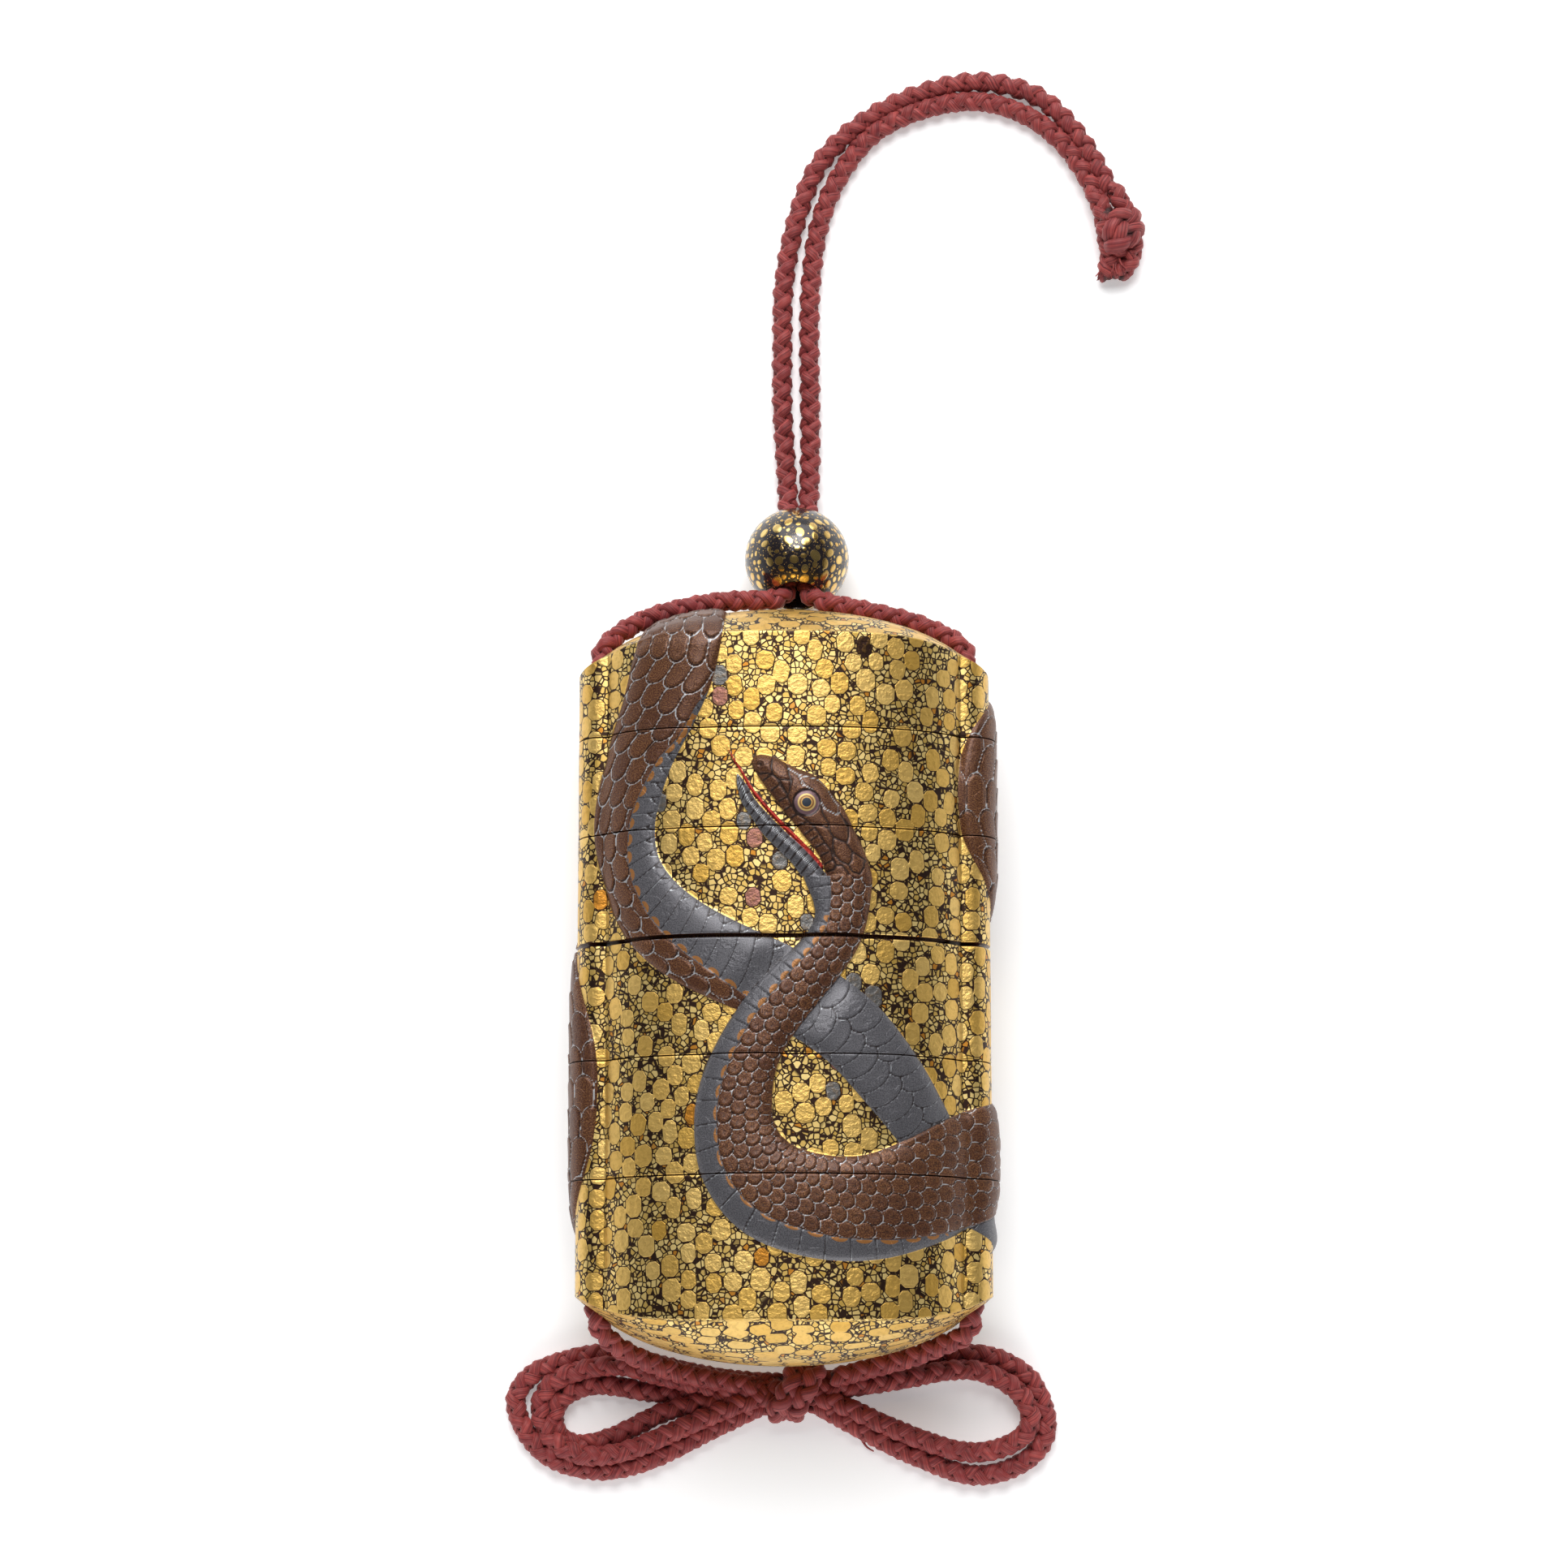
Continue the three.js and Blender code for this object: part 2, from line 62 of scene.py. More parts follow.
room = bpy.data.worlds.new("pale_room")
bpy.context.scene.world = room
room.use_nodes = True
room_nodes, room_links = room.node_tree.nodes, room.node_tree.links
around_room = room_nodes.new("ShaderNodeTexCoord")
split = room_nodes.new("ShaderNodeSeparateXYZ")
room_links.new(around_room.outputs["Generated"], split.inputs[0])
brightness = room_nodes.new("ShaderNodeMapRange")
brightness.interpolation_type = "SMOOTHSTEP"
room_links.new(split.outputs["Z"], brightness.inputs[0])
wall_top, ceiling_edge, wall_light, ceiling_light = 0.05, 0.50, 0.80, 0.10
for socket, value in zip(brightness.inputs[1:5], (wall_top, ceiling_edge, wall_light, ceiling_light)):
    socket.default_value = value
room_links.new(brightness.outputs[0], room_nodes["Background"].inputs["Strength"])
room_nodes["Background"].inputs["Color"].default_value = (0.96, 0.98, 1.0, 1)


def softbox(name, place, aim, width, height, watts):
    lamp = bpy.data.lights.new(name, "AREA")
    lamp.shape = "RECTANGLE"
    lamp.size = width
    lamp.size_y = height
    lamp.energy = watts
    stand = bpy.data.objects.new(name, lamp)
    stand.location = place
    stand.rotation_mode = "QUATERNION"
    stand.rotation_quaternion = (Vector(aim) - Vector(place)).to_track_quat("-Z", "Y")
    bpy.context.collection.objects.link(stand)


softbox("softbox_beyond", (-0.02, 0.55, 0.40), (0, 0.02, 0.01), 0.75, 0.50, 3.0)
softbox("softbox_above", (-0.04, 0.48, 0.79), (0, 0, 0), 0.50, 0.44, 4.6)
softbox("softbox_near", (0, -0.45, 0.20), (0, -0.05, 0.01), 0.70, 0.22, 1.5)

lens = bpy.data.cameras.new("camera")
lens.sensor_width = 36
lens.lens = 107.2
lens.clip_start = 0.01
camera = bpy.data.objects.new("camera", lens)
camera.location = (0, -0.076, 0.573)
looks_at = Vector((0, 0.0245, 0.013))
camera.rotation_mode = "QUATERNION"
camera.rotation_quaternion = (looks_at - camera.location).to_track_quat("-Z", "Y")
bpy.context.collection.objects.link(camera)
bpy.context.scene.camera = camera
bpy.context.scene.view_settings.view_transform = "Standard"


# ---- The lid and the five cases ---------------------------------------------------
# Six shells of lacquered wood, hollowed to a flat lens and nested on thin risers.
# A snake is built up on them in raised lacquer and cut through at every seam, and
# the ground round it is laid with gold flakes and gold grit in clear lacquer.

MM = 0.001
case_half = 25.0        # half the width, out to the cord runners
lens_half = 22.6        # the lens between the runners: its half width, half depth
lens_deep = 12.0        # and roundness
lens_power = 2.2
crease = 21.3           # where a runner meets the lens
runner_deep = 4.6
middle = 12.6           # the middle plane above the table
ridge_top = 41.1        # the ridge between the wall and a dome
dome_rise = 4.9
ridge_drop = 3.4        # how much lower the ridge is at the sides
over_dome = 22.0        # the measure from the front ridge to the back ridge
seams = [29.5, 17.4, 4.2, -9.9, -24.1]      # heights; the third stands a little open
seam_gaps = [0.14, 0.14, 0.5, 0.14, 0.14]
fine_step = 0.158       # between the rows of the side wall
lid_dome_step = 0.30
foot_dome_step = 0.40
ridge_ease = 0.35       # how much lower the snake lies where it bends over a ridge
back_clear = 0.015      # the rubbed back above the table
channel_x = 22.5
channel_radius = 1.4
channel_end = 38.4
mouth_x = 22.35         # the flared mouth of a channel in the dome
mouth_dish = 2.1
mouth_edge = 1.12


def half_depth(x):
    x = np.abs(x)
    share = np.clip(1 - (np.minimum(x, crease) / lens_half) ** lens_power, 0, 1)
    body = lens_deep * share ** (1 / lens_power)
    out = np.clip((x - crease) / (case_half - crease), 0, 1)
    return np.where(x <= crease, body, runner_deep * np.sqrt(1 - out ** 3))


def ridge(x):
    return ridge_top - ridge_drop * (np.abs(x) / case_half) ** 5


def rise(x):
    return dome_rise * np.clip(1 - (x / case_half) ** 2, 0, 1) ** 1.16


def gently(value, low, high):
    t = np.clip((value - low) / (high - low), 0, 1)
    return t * t * (3 - 2 * t)


# the girth: the way round the section, from the middle of the front
quarter_x = np.r_[
    crease * np.sin(np.linspace(0, math.pi / 2, 1500)),
    crease + (case_half - crease) * np.sin(np.linspace(0.002, math.pi / 2, 700)),
]
quarter_z = half_depth(quarter_x)
quarter_s = np.r_[0, np.cumsum(np.hypot(np.diff(quarter_x), np.diff(quarter_z)))]
quarter = quarter_s[-1]


def outline(s):
    turn = np.mod(s, 4 * quarter)
    part = np.minimum(turn // quarter, 3).astype(int)
    along = np.where(part % 2 == 0, turn - part * quarter, (part + 1) * quarter - turn)
    x = np.interp(along, quarter_s, quarter_x) * np.where(part < 2, 1, -1)
    z = np.interp(along, quarter_s, quarter_z) * np.where((part == 0) | (part == 3), 1, -1)
    return x, z


# the same outline with its corners eased, which the raised snake lies on
ring_s = np.linspace(0, 4 * quarter, 2400, endpoint=False)
ring = np.column_stack(outline(ring_s))
spread = np.arange(-60, 61)
weights = np.exp(-0.5 * (spread * ring_s[1] / 1.0) ** 2)
eased = sum(w * np.roll(ring, k, axis=0) for k, w in zip(spread, weights / weights.sum()))
eased_way = np.roll(eased, -1, axis=0) - np.roll(eased, 1, axis=0)
eased_out = np.column_stack([eased_way[:, 1], -eased_way[:, 0]])
eased_out *= np.where((eased_out * eased).sum(1) < 0, -1, 1)[:, None]
eased_out /= np.linalg.norm(eased_out, axis=1)[:, None]


def around(table, s):
    turn = np.mod(s, 4 * quarter)
    return [np.interp(turn, ring_s, column, period=4 * quarter) for column in table.T]


def flowing(points, step):
    # an even walk along a centripetal Catmull-Rom line through the points
    p = np.asarray(points, float)
    p = np.vstack([2 * p[0] - p[1], p, 2 * p[-1] - p[-2]])
    walk = []
    for a, b, c, d in zip(p[:-3], p[1:-2], p[2:-1], p[3:]):
        k1 = max(np.linalg.norm(b - a), 1e-6) ** 0.5
        k2 = k1 + max(np.linalg.norm(c - b), 1e-6) ** 0.5
        k3 = k2 + max(np.linalg.norm(d - c), 1e-6) ** 0.5
        t = np.linspace(k1, k2, 33)[:-1, None]
        ab = (k1 - t) / k1 * a + t / k1 * b
        bc = (k2 - t) / (k2 - k1) * b + (t - k1) / (k2 - k1) * c
        cd = (k3 - t) / (k3 - k2) * c + (t - k2) / (k3 - k2) * d
        abc = (k2 - t) / k2 * ab + t / k2 * bc
        bcd = (k3 - t) / (k3 - k1) * bc + (t - k1) / (k3 - k1) * cd
        walk.append((k2 - t) / (k2 - k1) * abc + (t - k1) / (k2 - k1) * bcd)
    walk = np.vstack([*walk, p[-2:-1]])
    gone = np.r_[0, np.cumsum(np.linalg.norm(np.diff(walk, axis=0), axis=1))]
    even = np.linspace(0, gone[-1], max(2, int(round(gone[-1] / step))) + 1)
    return np.column_stack([np.interp(even, gone, walk[:, k]) for k in range(walk.shape[1])])


# The snake, as centre lines on the skin: girth, height, half width. The upper
# length goes from the head down round the loop and on round the back; the lower
# one comes back over the lid, down the front, under the neck and off to the tail.
upper_length = [
    (6.4, 12.2, 4.2), (6.6, 11.2, 4.1), (6.9, 8.6, 3.5), (6.8, 6.4, 3.15), (6.2, 4.4, 3.05),
    (4.7, 2.0, 3.1), (1.5, -1.6, 3.35), (-2.1, -6.0, 3.6), (-4.5, -10.3, 3.9), (-5.8, -14.8, 4.45),
    (-5.9, -18.7, 4.8), (-4.7, -22.6, 5.4), (-1.6, -26.0, 5.9), (3.8, -27.9, 6.1),
    (10.3, -28.0, 6.2), (17.0, -25.9, 6.4), (23.6, -23.0, 6.6), (29.5, -21.3, 6.6),
    (37.0, -20.5, 6.5), (45.0, -21.5, 6.4), (53.0, -24.0, 6.4), (61.0, -26.5, 6.3),
    (69.0, -28.0, 6.3), (77.0, -28.5, 6.2), (84.0, -26.5, 6.2), (88.8, -21.5, 6.2),
    (90.2, -14.5, 6.2), (89.6, -7.5, 6.2), (86.5, -1.0, 6.2), (81.0, 4.0, 6.2),
    (73.5, 7.0, 6.2), (65.0, 8.0, 6.2), (56.5, 8.0, 6.2), (48.0, 8.5, 6.2), (40.0, 10.5, 6.2),
    (33.5, 14.0, 6.2), (29.6, 19.0, 6.2), (29.3, 25.0, 6.2), (32.5, 30.2, 6.1),
    (39.0, 32.8, 6.0), (47.0, 33.2, 5.9), (55.0, 32.2, 5.8), (62.5, 31.8, 5.7),
    (69.0, 33.6, 5.6), (72.6, 37.4, 5.6), (73.4, 41.0, 5.5), (73.4, 45.0, 5.5),
]
lower_length = [
    (-13.0, 67.1, 5.5), (-12.8, 60.1, 5.5), (-12.4, 52.1, 5.4), (-12.5, 45.1, 5.4),
    (-12.9, 40.9, 5.4), (-14.1, 36.2, 5.5), (-16.0, 31.3, 5.1), (-18.2, 26.8, 4.9),
    (-19.8, 22.0, 4.8), (-20.4, 17.5, 4.6), (-19.4, 12.5, 4.4), (-16.7, 8.0, 4.6),
    (-12.4, 4.2, 4.8), (-6.0, 0.7, 4.8), (-2.0, -1.0, 4.7), (2.9, -3.6, 4.6),
    (8.2, -7.5, 4.5), (13.0, -12.9, 4.3), (17.0, -18.0, 3.9), (21.0, -23.0, 3.6),
    (26.0, -27.0, 3.4), (32.0, -29.5, 3.2), (38.5, -31.8, 2.8), (46.0, -34.2, 2.3),
    (54.0, -36.4, 1.7), (61.0, -37.0, 1.1), (67.0, -35.5, 0.5),
]
skull = [
    (-3.9, 25.2), (-3.6, 25.7), (-2.9, 26.0), (-2.0, 25.9), (-0.8, 25.5), (0.3, 24.9), (1.3, 24.4),
    (2.4, 24.0), (3.4, 23.6), (4.4, 22.8), (5.2, 21.9), (6.0, 20.8), (6.8, 20.0), (7.5, 18.8),
    (8.0, 17.8), (8.6, 16.5), (9.3, 15.2), (9.8, 13.9), (10.3, 12.5), (10.6, 11.2), (10.7, 9.8),
    (5.3, 9.8), (5.1, 11.4), (4.8, 12.2), (4.4, 13.3), (3.7, 14.5), (3.0, 15.4), (2.4, 16.1),
    (1.6, 17.2), (0.8, 18.2), (0.0, 19.1), (-0.8, 20.2), (-1.7, 21.4), (-2.5, 22.5), (-3.1, 23.4),
    (-3.6, 24.3),
]
jaw = [
    (-5.6, 23.8), (-5.2, 23.4), (-4.8, 22.8), (-4.2, 21.9), (-3.6, 20.8), (-2.8, 19.8), (-2.0, 18.9),
    (-1.3, 18.1), (-0.4, 17.2), (0.5, 16.3), (1.6, 15.4), (2.6, 14.5), (3.4, 13.7), (4.1, 12.8),
    (4.7, 11.9), (5.2, 11.2), (5.6, 9.8), (3.0, 9.6), (2.4, 10.8), (1.7, 11.8), (0.8, 13.0),
    (-0.3, 14.1), (-1.3, 15.1), (-2.3, 16.1), (-3.1, 17.2), (-3.9, 18.4), (-4.5, 19.3),
    (-5.1, 20.3), (-5.4, 21.4), (-5.6, 22.1), (-5.7, 23.1),
]
tongue = [
    (-6.9, 27.1, 0.08), (-6.4, 26.2, 0.13), (-5.8, 25.1, 0.16), (-5.2, 24.2, 0.17), (-4.6, 23.1, 0.19),
    (-3.9, 21.9, 0.21), (-3.0, 20.7, 0.23), (-2.2, 19.7, 0.25), (-1.3, 18.7, 0.27), (-0.2, 17.5, 0.28),
    (1.0, 16.3, 0.29), (2.3, 15.0, 0.28), (3.5, 13.7, 0.26), (4.5, 12.5, 0.24),
]
# the grooves between the head's plates
lip_line = [
    (-3.3, 23.9), (-2.9, 23.6), (-2.0, 23.6), (-1.3, 23.4), (-0.8, 22.9), (-0.3, 21.9), (0.3, 21.1),
    (0.6, 20.3), (1.0, 19.5), (1.5, 18.7), (2.4, 18.1), (3.3, 17.4), (4.0, 16.5), (4.8, 15.2),
    (5.6, 14.2), (5.8, 13.1), (6.1, 12.5),
]
head_grooves = [
    lip_line,
    [(-2.5, 22.8), (-1.4, 23.4)], [(-1.6, 21.5), (-0.7, 22.1)], [(-0.8, 20.2), (0.3, 20.7)],
    [(0.0, 19.2), (0.9, 19.7)], [(0.8, 18.3), (1.7, 18.7)], [(1.7, 17.4), (2.7, 17.7)],
    [(2.5, 16.3), (3.3, 16.8)], [(3.2, 15.6), (3.9, 16.0)], [(3.7, 14.7), (4.6, 15.1)],
    [(4.3, 13.7), (5.2, 14.1)], [(4.8, 12.7), (5.8, 13.2)],
    [(-1.4, 25.3), (-1.5, 24.4), (-1.3, 23.4)],
    [(0.3, 24.8), (0.5, 24.1), (0.6, 23.4), (0.9, 22.7), (0.7, 21.9), (0.6, 21.2)],
    [(-0.8, 22.9), (-0.3, 22.8), (0.9, 22.7)],
    [(-1.3, 23.4), (-0.8, 23.0), (-0.4, 22.5), (0.1, 21.6), (0.5, 20.8)],
    [(4.4, 19.5), (4.5, 18.8), (4.8, 18.2), (5.2, 17.6), (5.4, 16.5), (5.8, 15.9)],
    [(6.5, 19.0), (7.0, 18.2), (7.6, 17.6)],
    [(3.3, 17.4), (4.4, 17.3), (5.2, 16.9)],
    [(5.8, 15.9), (6.6, 15.5), (7.4, 15.3), (7.6, 16.1), (7.6, 17.2), (7.0, 18.2)],
    [(5.8, 15.9), (5.7, 14.8), (6.0, 13.7), (6.6, 13.0), (7.6, 12.6), (7.9, 13.1), (8.0, 14.2),
     (7.4, 15.1)],
    [(8.0, 14.2), (8.9, 13.7), (9.8, 13.2)],
    [(7.6, 12.6), (8.0, 11.8), (8.9, 11.5), (9.4, 12.4), (9.6, 13.4)],
    [(6.1, 12.5), (6.8, 12.5), (7.4, 11.8), (7.7, 11.2)],
    [(5.1, 11.8), (5.8, 12.0), (6.1, 12.5)],
]
brow_lines = [
    [(0.5, 24.2), (1.1, 23.8), (1.7, 23.4), (2.0, 22.8), (2.2, 22.1)],
    [(1.7, 23.4), (2.5, 23.2), (3.3, 23.1), (4.1, 22.9), (4.6, 22.5), (5.2, 21.8), (5.7, 20.8),
     (6.1, 20.2), (6.5, 19.7), (6.5, 19.0)],
    [(2.0, 22.7), (2.5, 22.1), (3.3, 21.6), (4.0, 20.8), (4.4, 20.0), (4.8, 19.3), (5.6, 18.9),
     (6.2, 18.6), (6.5, 19.0)],
]
jaw_middle = [(-5.3, 22.6), (-4.4, 20.6), (-2.1, 17.9), (0.8, 15.0), (3.7, 12.0)]
eye_centre = (2.66, 20.05)
nostril = (-2.8, 24.75)


def off_line(s, y, line):
    # distance of each place from a line of straight stretches
    best = np.full(s.shape, 1e9)
    for (ax, ay), (bx, by) in zip(line[:-1], line[1:]):
        dx, dy = bx - ax, by - ay
        t = np.clip(((s - ax) * dx + (y - ay) * dy) / (dx * dx + dy * dy), 0, 1)
        best = np.minimum(best, np.hypot(s - ax - t * dx, y - ay - t * dy))
    return best


def within(s, y, shape):
    # signed distance to a closed outline: above nought inside it
    closed = [p[:2] for p in flowing(shape + shape[:1], 0.25)]
    inside = np.zeros(s.shape, bool)
    for (ax, ay), (bx, by) in zip(closed[:-1], closed[1:]):
        crosses = (ay > y) != (by > y)
        if ay != by:
            inside ^= crosses & (s < (bx - ax) * (y - ay) / (by - ay) + ax)
    edge = off_line(s, y, closed)
    return np.where(inside, edge, -edge)


class Length:
    # a length of the snake: gives each place its way along, its way across and width

    def __init__(self, points, start):
        self.line = flowing(points, 0.15)
        flat = self.line[:, :2]
        self.way = np.gradient(flat, axis=0)
        self.way /= np.linalg.norm(self.way, axis=1)[:, None]
        self.along = start + np.r_[0, np.cumsum(np.linalg.norm(np.diff(flat, axis=0), axis=1))]
        self.tree = KDTree(3 * len(flat))
        for turn in (-1, 0, 1):
            for k, (s, y) in enumerate(flat):
                self.tree.insert((s + turn * 4 * quarter, y, 0), k + len(flat) * (turn + 1))
        self.tree.balance()

    def places(self, s, y):
        found = [self.tree.find((a, b, 0))[1] for a, b in zip(s.tolist(), y.tolist())]
        found = np.array(found)
        turn = found // len(self.line) - 1
        k = found % len(self.line)
        ds = s - self.line[k, 0] - turn * 4 * quarter
        dy = y - self.line[k, 1]
        ahead = ds * self.way[k, 0] + dy * self.way[k, 1]
        across = -ds * self.way[k, 1] + dy * self.way[k, 0]
        return self.along[k] + ahead, across, self.line[k, 2], np.abs(ahead)


def scales(a, b, column, pitch, fill, tip):
    # Overlapping scales: a counts pitches towards the tail, b counts columns. Each
    # is a U that lies over the next ones. Gives the distance inside its own edge,
    # that outside the edges lying over it, the way from its tip and its own number.
    best_tip = np.full(a.shape, 1e9)
    inside = np.full(a.shape, -1.0)
    shaded = np.full(a.shape, 1e9)
    number = np.zeros(a.shape)
    centre = np.zeros(a.shape)
    tries = []
    for step in (-1, 0, 1):
        j = np.round(b) + step
        shift = 0.5 * np.mod(j, 2)
        for later in (-1, 0, 1):
            at_tip = np.ceil(a - shift) + shift + later
            x = (b - j) * column
            y = (at_tip - a) * pitch
            half = fill * column
            round_y = tip * half
            bent = 1 - np.hypot(x / half, np.maximum(0, 1 - y / round_y))
            edge = np.where(y < round_y, bent * np.minimum(half, round_y), half - np.abs(x))
            tries.append((at_tip, edge, j, x))
    for at_tip, edge, j, x in tries:
        wins = (edge > 0) & (at_tip < best_tip)
        best_tip = np.where(wins, at_tip, best_tip)
        inside = np.where(wins, edge, inside)
        number = np.where(wins, np.mod(np.sin(at_tip * 12.9898 + j * 78.233) * 43758.5453, 1), number)
        centre = np.where(wins, x, centre)
    for at_tip, edge, _, _ in tries:
        over = (at_tip < best_tip - 1e-6) & (edge <= 0)
        shaded = np.where(over, np.minimum(shaded, -edge), shaded)
    return inside, shaded, (best_tip - a) * pitch, number, centre


def laid_scales(along, across, columns, pitches, fills, tips, edge_at):
    # the lattice numbers for a length whose scale sizes change slowly along it
    mark = np.arange(-5, 400, 0.5)
    pitch = np.interp(mark, *pitches)
    counted = np.r_[0, np.cumsum(0.5 / pitch)[:-1]]
    a = np.interp(along, mark, counted)
    column = np.interp(along, *columns)
    b = (across - edge_at) / column - 0.5
    return scales(a, b, column, np.interp(along, *pitches), np.interp(along, *fills), np.interp(along, *tips))


def steady(size):
    return (0, 500), (size, size)


upper = Length(upper_length, 0.0)
lower = Length(lower_length, 277.5)    # counted on from the upper length's end

# how wide the grey belly shows along each length
upper_belly = ((0, 5, 8, 15, 20, 26, 34, 43, 48, 55, 60, 66, 72, 400),
               (3.2, 1.7, 1.6, 1.9, 2.2, 2.5, 2.9, 3.1, 3.1, 2.5, 1.5, 0.5, -0.6, -0.6))
lower_belly = ((0, 307, 311, 315, 318, 322, 326, 330, 334, 338, 344, 349, 354, 358, 363, 400, 420, 500),
               (-0.6, -0.6, 0.6, 0.8, 1.6, 2.2, 2.9, 3.3, 3.9, 4.6, 5.8, 6.6, 7.5, 8.4, 11, 11, 4, 1))


# what each mark of the surface says, and its value away from anything: how far inside
# the snake, belly, moon, tongue or flake a place lies, or how far from a line
far = 9.0
far_off = {
    "snake": -far, "belly": 0.0, "tint": 0.0, "pit": 0.0, "groove": far, "silver": far,
    "moon": -far, "eye": far, "tongue": -far, "flake": -far,
}
neck_line = 11.3        # the head's own relief begins above this height


def unmarked(shape):
    return {name: np.full(shape, away) for name, away in far_off.items()} | {"lift": np.zeros(shape)}


def swell(across, half, square, soft):
    # the rounded back of a length: one in its middle, nought at its edges
    share = np.clip(np.abs(across) / half, 0, 1)
    return np.clip(1 - share ** square, 0, 1) ** soft


def scale_steps(groove, tip, high, reach):
    # the step at the tip of each scale or plate, and the groove round it
    step = high * np.exp(-tip / reach)
    return step * gently(groove, 0.0, 0.22) - 0.08 * np.exp(-(groove / 0.10) ** 2)


def amber_moons(plate_way, pitch, belly, tall):
    # a half moon where each belly plate meets the scales
    moon_way = np.mod(plate_way / pitch, 1) - 0.5
    return (1 - np.hypot(moon_way / 0.36, (belly - 0.05) / tall)) * 0.6


def relief(s, y):
    # everything the raised lacquer needs at the places s, y on the unrolled skin
    out = unmarked(len(s))

    # the lower length
    along, across, half, miss = lower.places(s, y)
    edge = np.where(miss < 0.5, half - np.abs(across), -far)
    on = edge > -2.0
    low_edge = np.where(on, edge, -far)
    tapered = np.interp(along, (277, 380, 395, 410, 425, 445), (0.82, 0.82, 0.75, 0.6, 0.45, 0.2))
    belly_edge = half - np.interp(along, *lower_belly)
    belly = across - belly_edge
    inside, shaded, tip_way, number, x = laid_scales(
        along, across, ((0, 330, 350, 400), (1.23, 1.2, 1.1, 1.1)),
        ((0, 300, 330, 350, 370, 450), (6.5, 6.5, 6.0, 5.0, 4.4, 3.0)),
        steady(0.92), steady(1.25), belly_edge + 40 * 1.23)
    one = laid_scales(
        along, across, steady(9.0), ((0, 320, 350, 500), (2.0, 2.2, 2.3, 2.3)),
        steady(0.62), steady(0.36), half - 4.6 - 4.5)
    two = laid_scales(along, across, steady(4.6), steady(2.25), steady(0.58), steady(0.62), -4.2)
    paired = along > 361.5
    plate = [np.where(paired, b, a) for a, b in zip(one, two)]
    grey = belly > 0
    part = {
        "groove": np.where(grey, plate[0], inside),
        "silver": np.where(grey, plate[1] * 2.6, shaded),
        "tint": np.where(grey, plate[3], number),
        "tip": np.where(grey, plate[2], tip_way),
    }
    step = scale_steps(part["groove"], part["tip"], np.where(grey, 0.08, 0.20), np.where(grey, 0.8, 1.8))
    lift = tapered * swell(across, half, 3.2, 0.62) + step * gently(edge, 0.0, 0.5)
    moon = amber_moons(plate[2], np.interp(along, (0, 350), (2.05, 2.3)), belly, 0.62)
    moon = np.where((along > 312) & (along < 360) & (belly > 0.02), moon, -far)
    low = low_edge > 0
    out["snake"] = low_edge
    out["lift"] = np.where(low, lift, 0)
    out["belly"] = np.where(low, belly, 0)
    for name in ("groove", "silver", "tint"):
        out[name] = np.where(low, part[name], out[name])
    out["moon"] = np.where(low, moon, -far)

    # the upper length, which lies over it
    along, across, half, miss = upper.places(s, y)
    headward = (y > neck_line) & (s > -8) & (s < 12)
    edge = np.where((miss < 0.5) & ~headward, half - np.abs(across), -far)
    top = edge > 0
    out["lift"] *= 0.42 + 0.58 * gently(-edge, 0.0, 3.5)
    belly_edge = -half + np.interp(along, *upper_belly)
    belly = belly_edge - across
    inside, shaded, tip_way, number, x = laid_scales(
        along, across,
        ((0, 6, 15, 30, 55, 70, 90, 115, 140, 400),
         (1.30, 1.30, 1.48, 1.6, 1.78, 1.9, 2.0, 1.35, 1.25, 1.23)),
        ((0, 6, 20, 45, 60, 75, 95, 120, 140, 400),
         (1.65, 1.75, 1.9, 1.7, 2.1, 2.25, 3.0, 5.6, 6.4, 6.5)),
        ((0, 75, 100, 120, 400), (0.60, 0.60, 0.75, 0.92, 0.92)),
        ((0, 400), (1.1, 1.15)), np.maximum(belly_edge, -half - 0.3))
    plate = laid_scales(
        along, across, steady(9.0), ((0, 10, 25, 50, 500), (1.75, 1.85, 2.2, 2.45, 2.45)),
        steady(0.62), steady(0.10), -half - 4.5)
    grey = belly > 0
    groove = np.where(grey, plate[0], inside)
    tip = np.where(grey, plate[2], tip_way)
    reach = np.interp(along, (0, 75, 120), (0.9, 1.0, 1.8))
    step = scale_steps(groove, tip, np.where(grey, 0.06, 0.17), np.where(grey, 0.8, reach))
    seam_dip = np.where(np.abs(belly) < 0.5, -0.07 * np.exp(-(belly / 0.14) ** 2), 0)
    lift = swell(across, half, 3.0, 0.6) + (step + seam_dip) * gently(edge, 0.0, 0.5)
    lift = np.maximum(lift, out["lift"] + 0.22 * gently(edge, 0, 0.25))
    tall = np.interp(along, (0, 20, 32, 46, 52, 66), (0.62, 0.62, 0.4, 0.4, 0.55, 0.5))
    moon = amber_moons(plate[2], np.interp(along, (0, 10, 25, 50), (1.75, 1.85, 2.2, 2.45)), belly, tall)
    moon = np.where((along > 6) & (along < 64) & (belly > 0.02), moon, -far)
    pit = np.hypot(x * 2.0, tip_way - 0.45 * np.interp(along, (0, 60), (1.75, 2.1)))
    pit = np.where((along < 72) & ~grey, np.exp(-(pit / 0.24) ** 2), 0)
    out["snake"] = np.maximum(out["snake"], edge)
    out["lift"] = np.where(top, lift - 0.03 * pit, out["lift"])
    out["belly"] = np.where(top, belly, out["belly"])
    out["groove"] = np.where(top, groove, out["groove"])
    out["silver"] = np.where(top, np.where(grey, plate[1] * 2.6, shaded * 1.4), out["silver"])
    out["tint"] = np.where(top, np.where(grey, plate[3], number), out["tint"])
    out["moon"] = np.where(top, moon, out["moon"])
    out["pit"] = np.where(top, pit, 0)
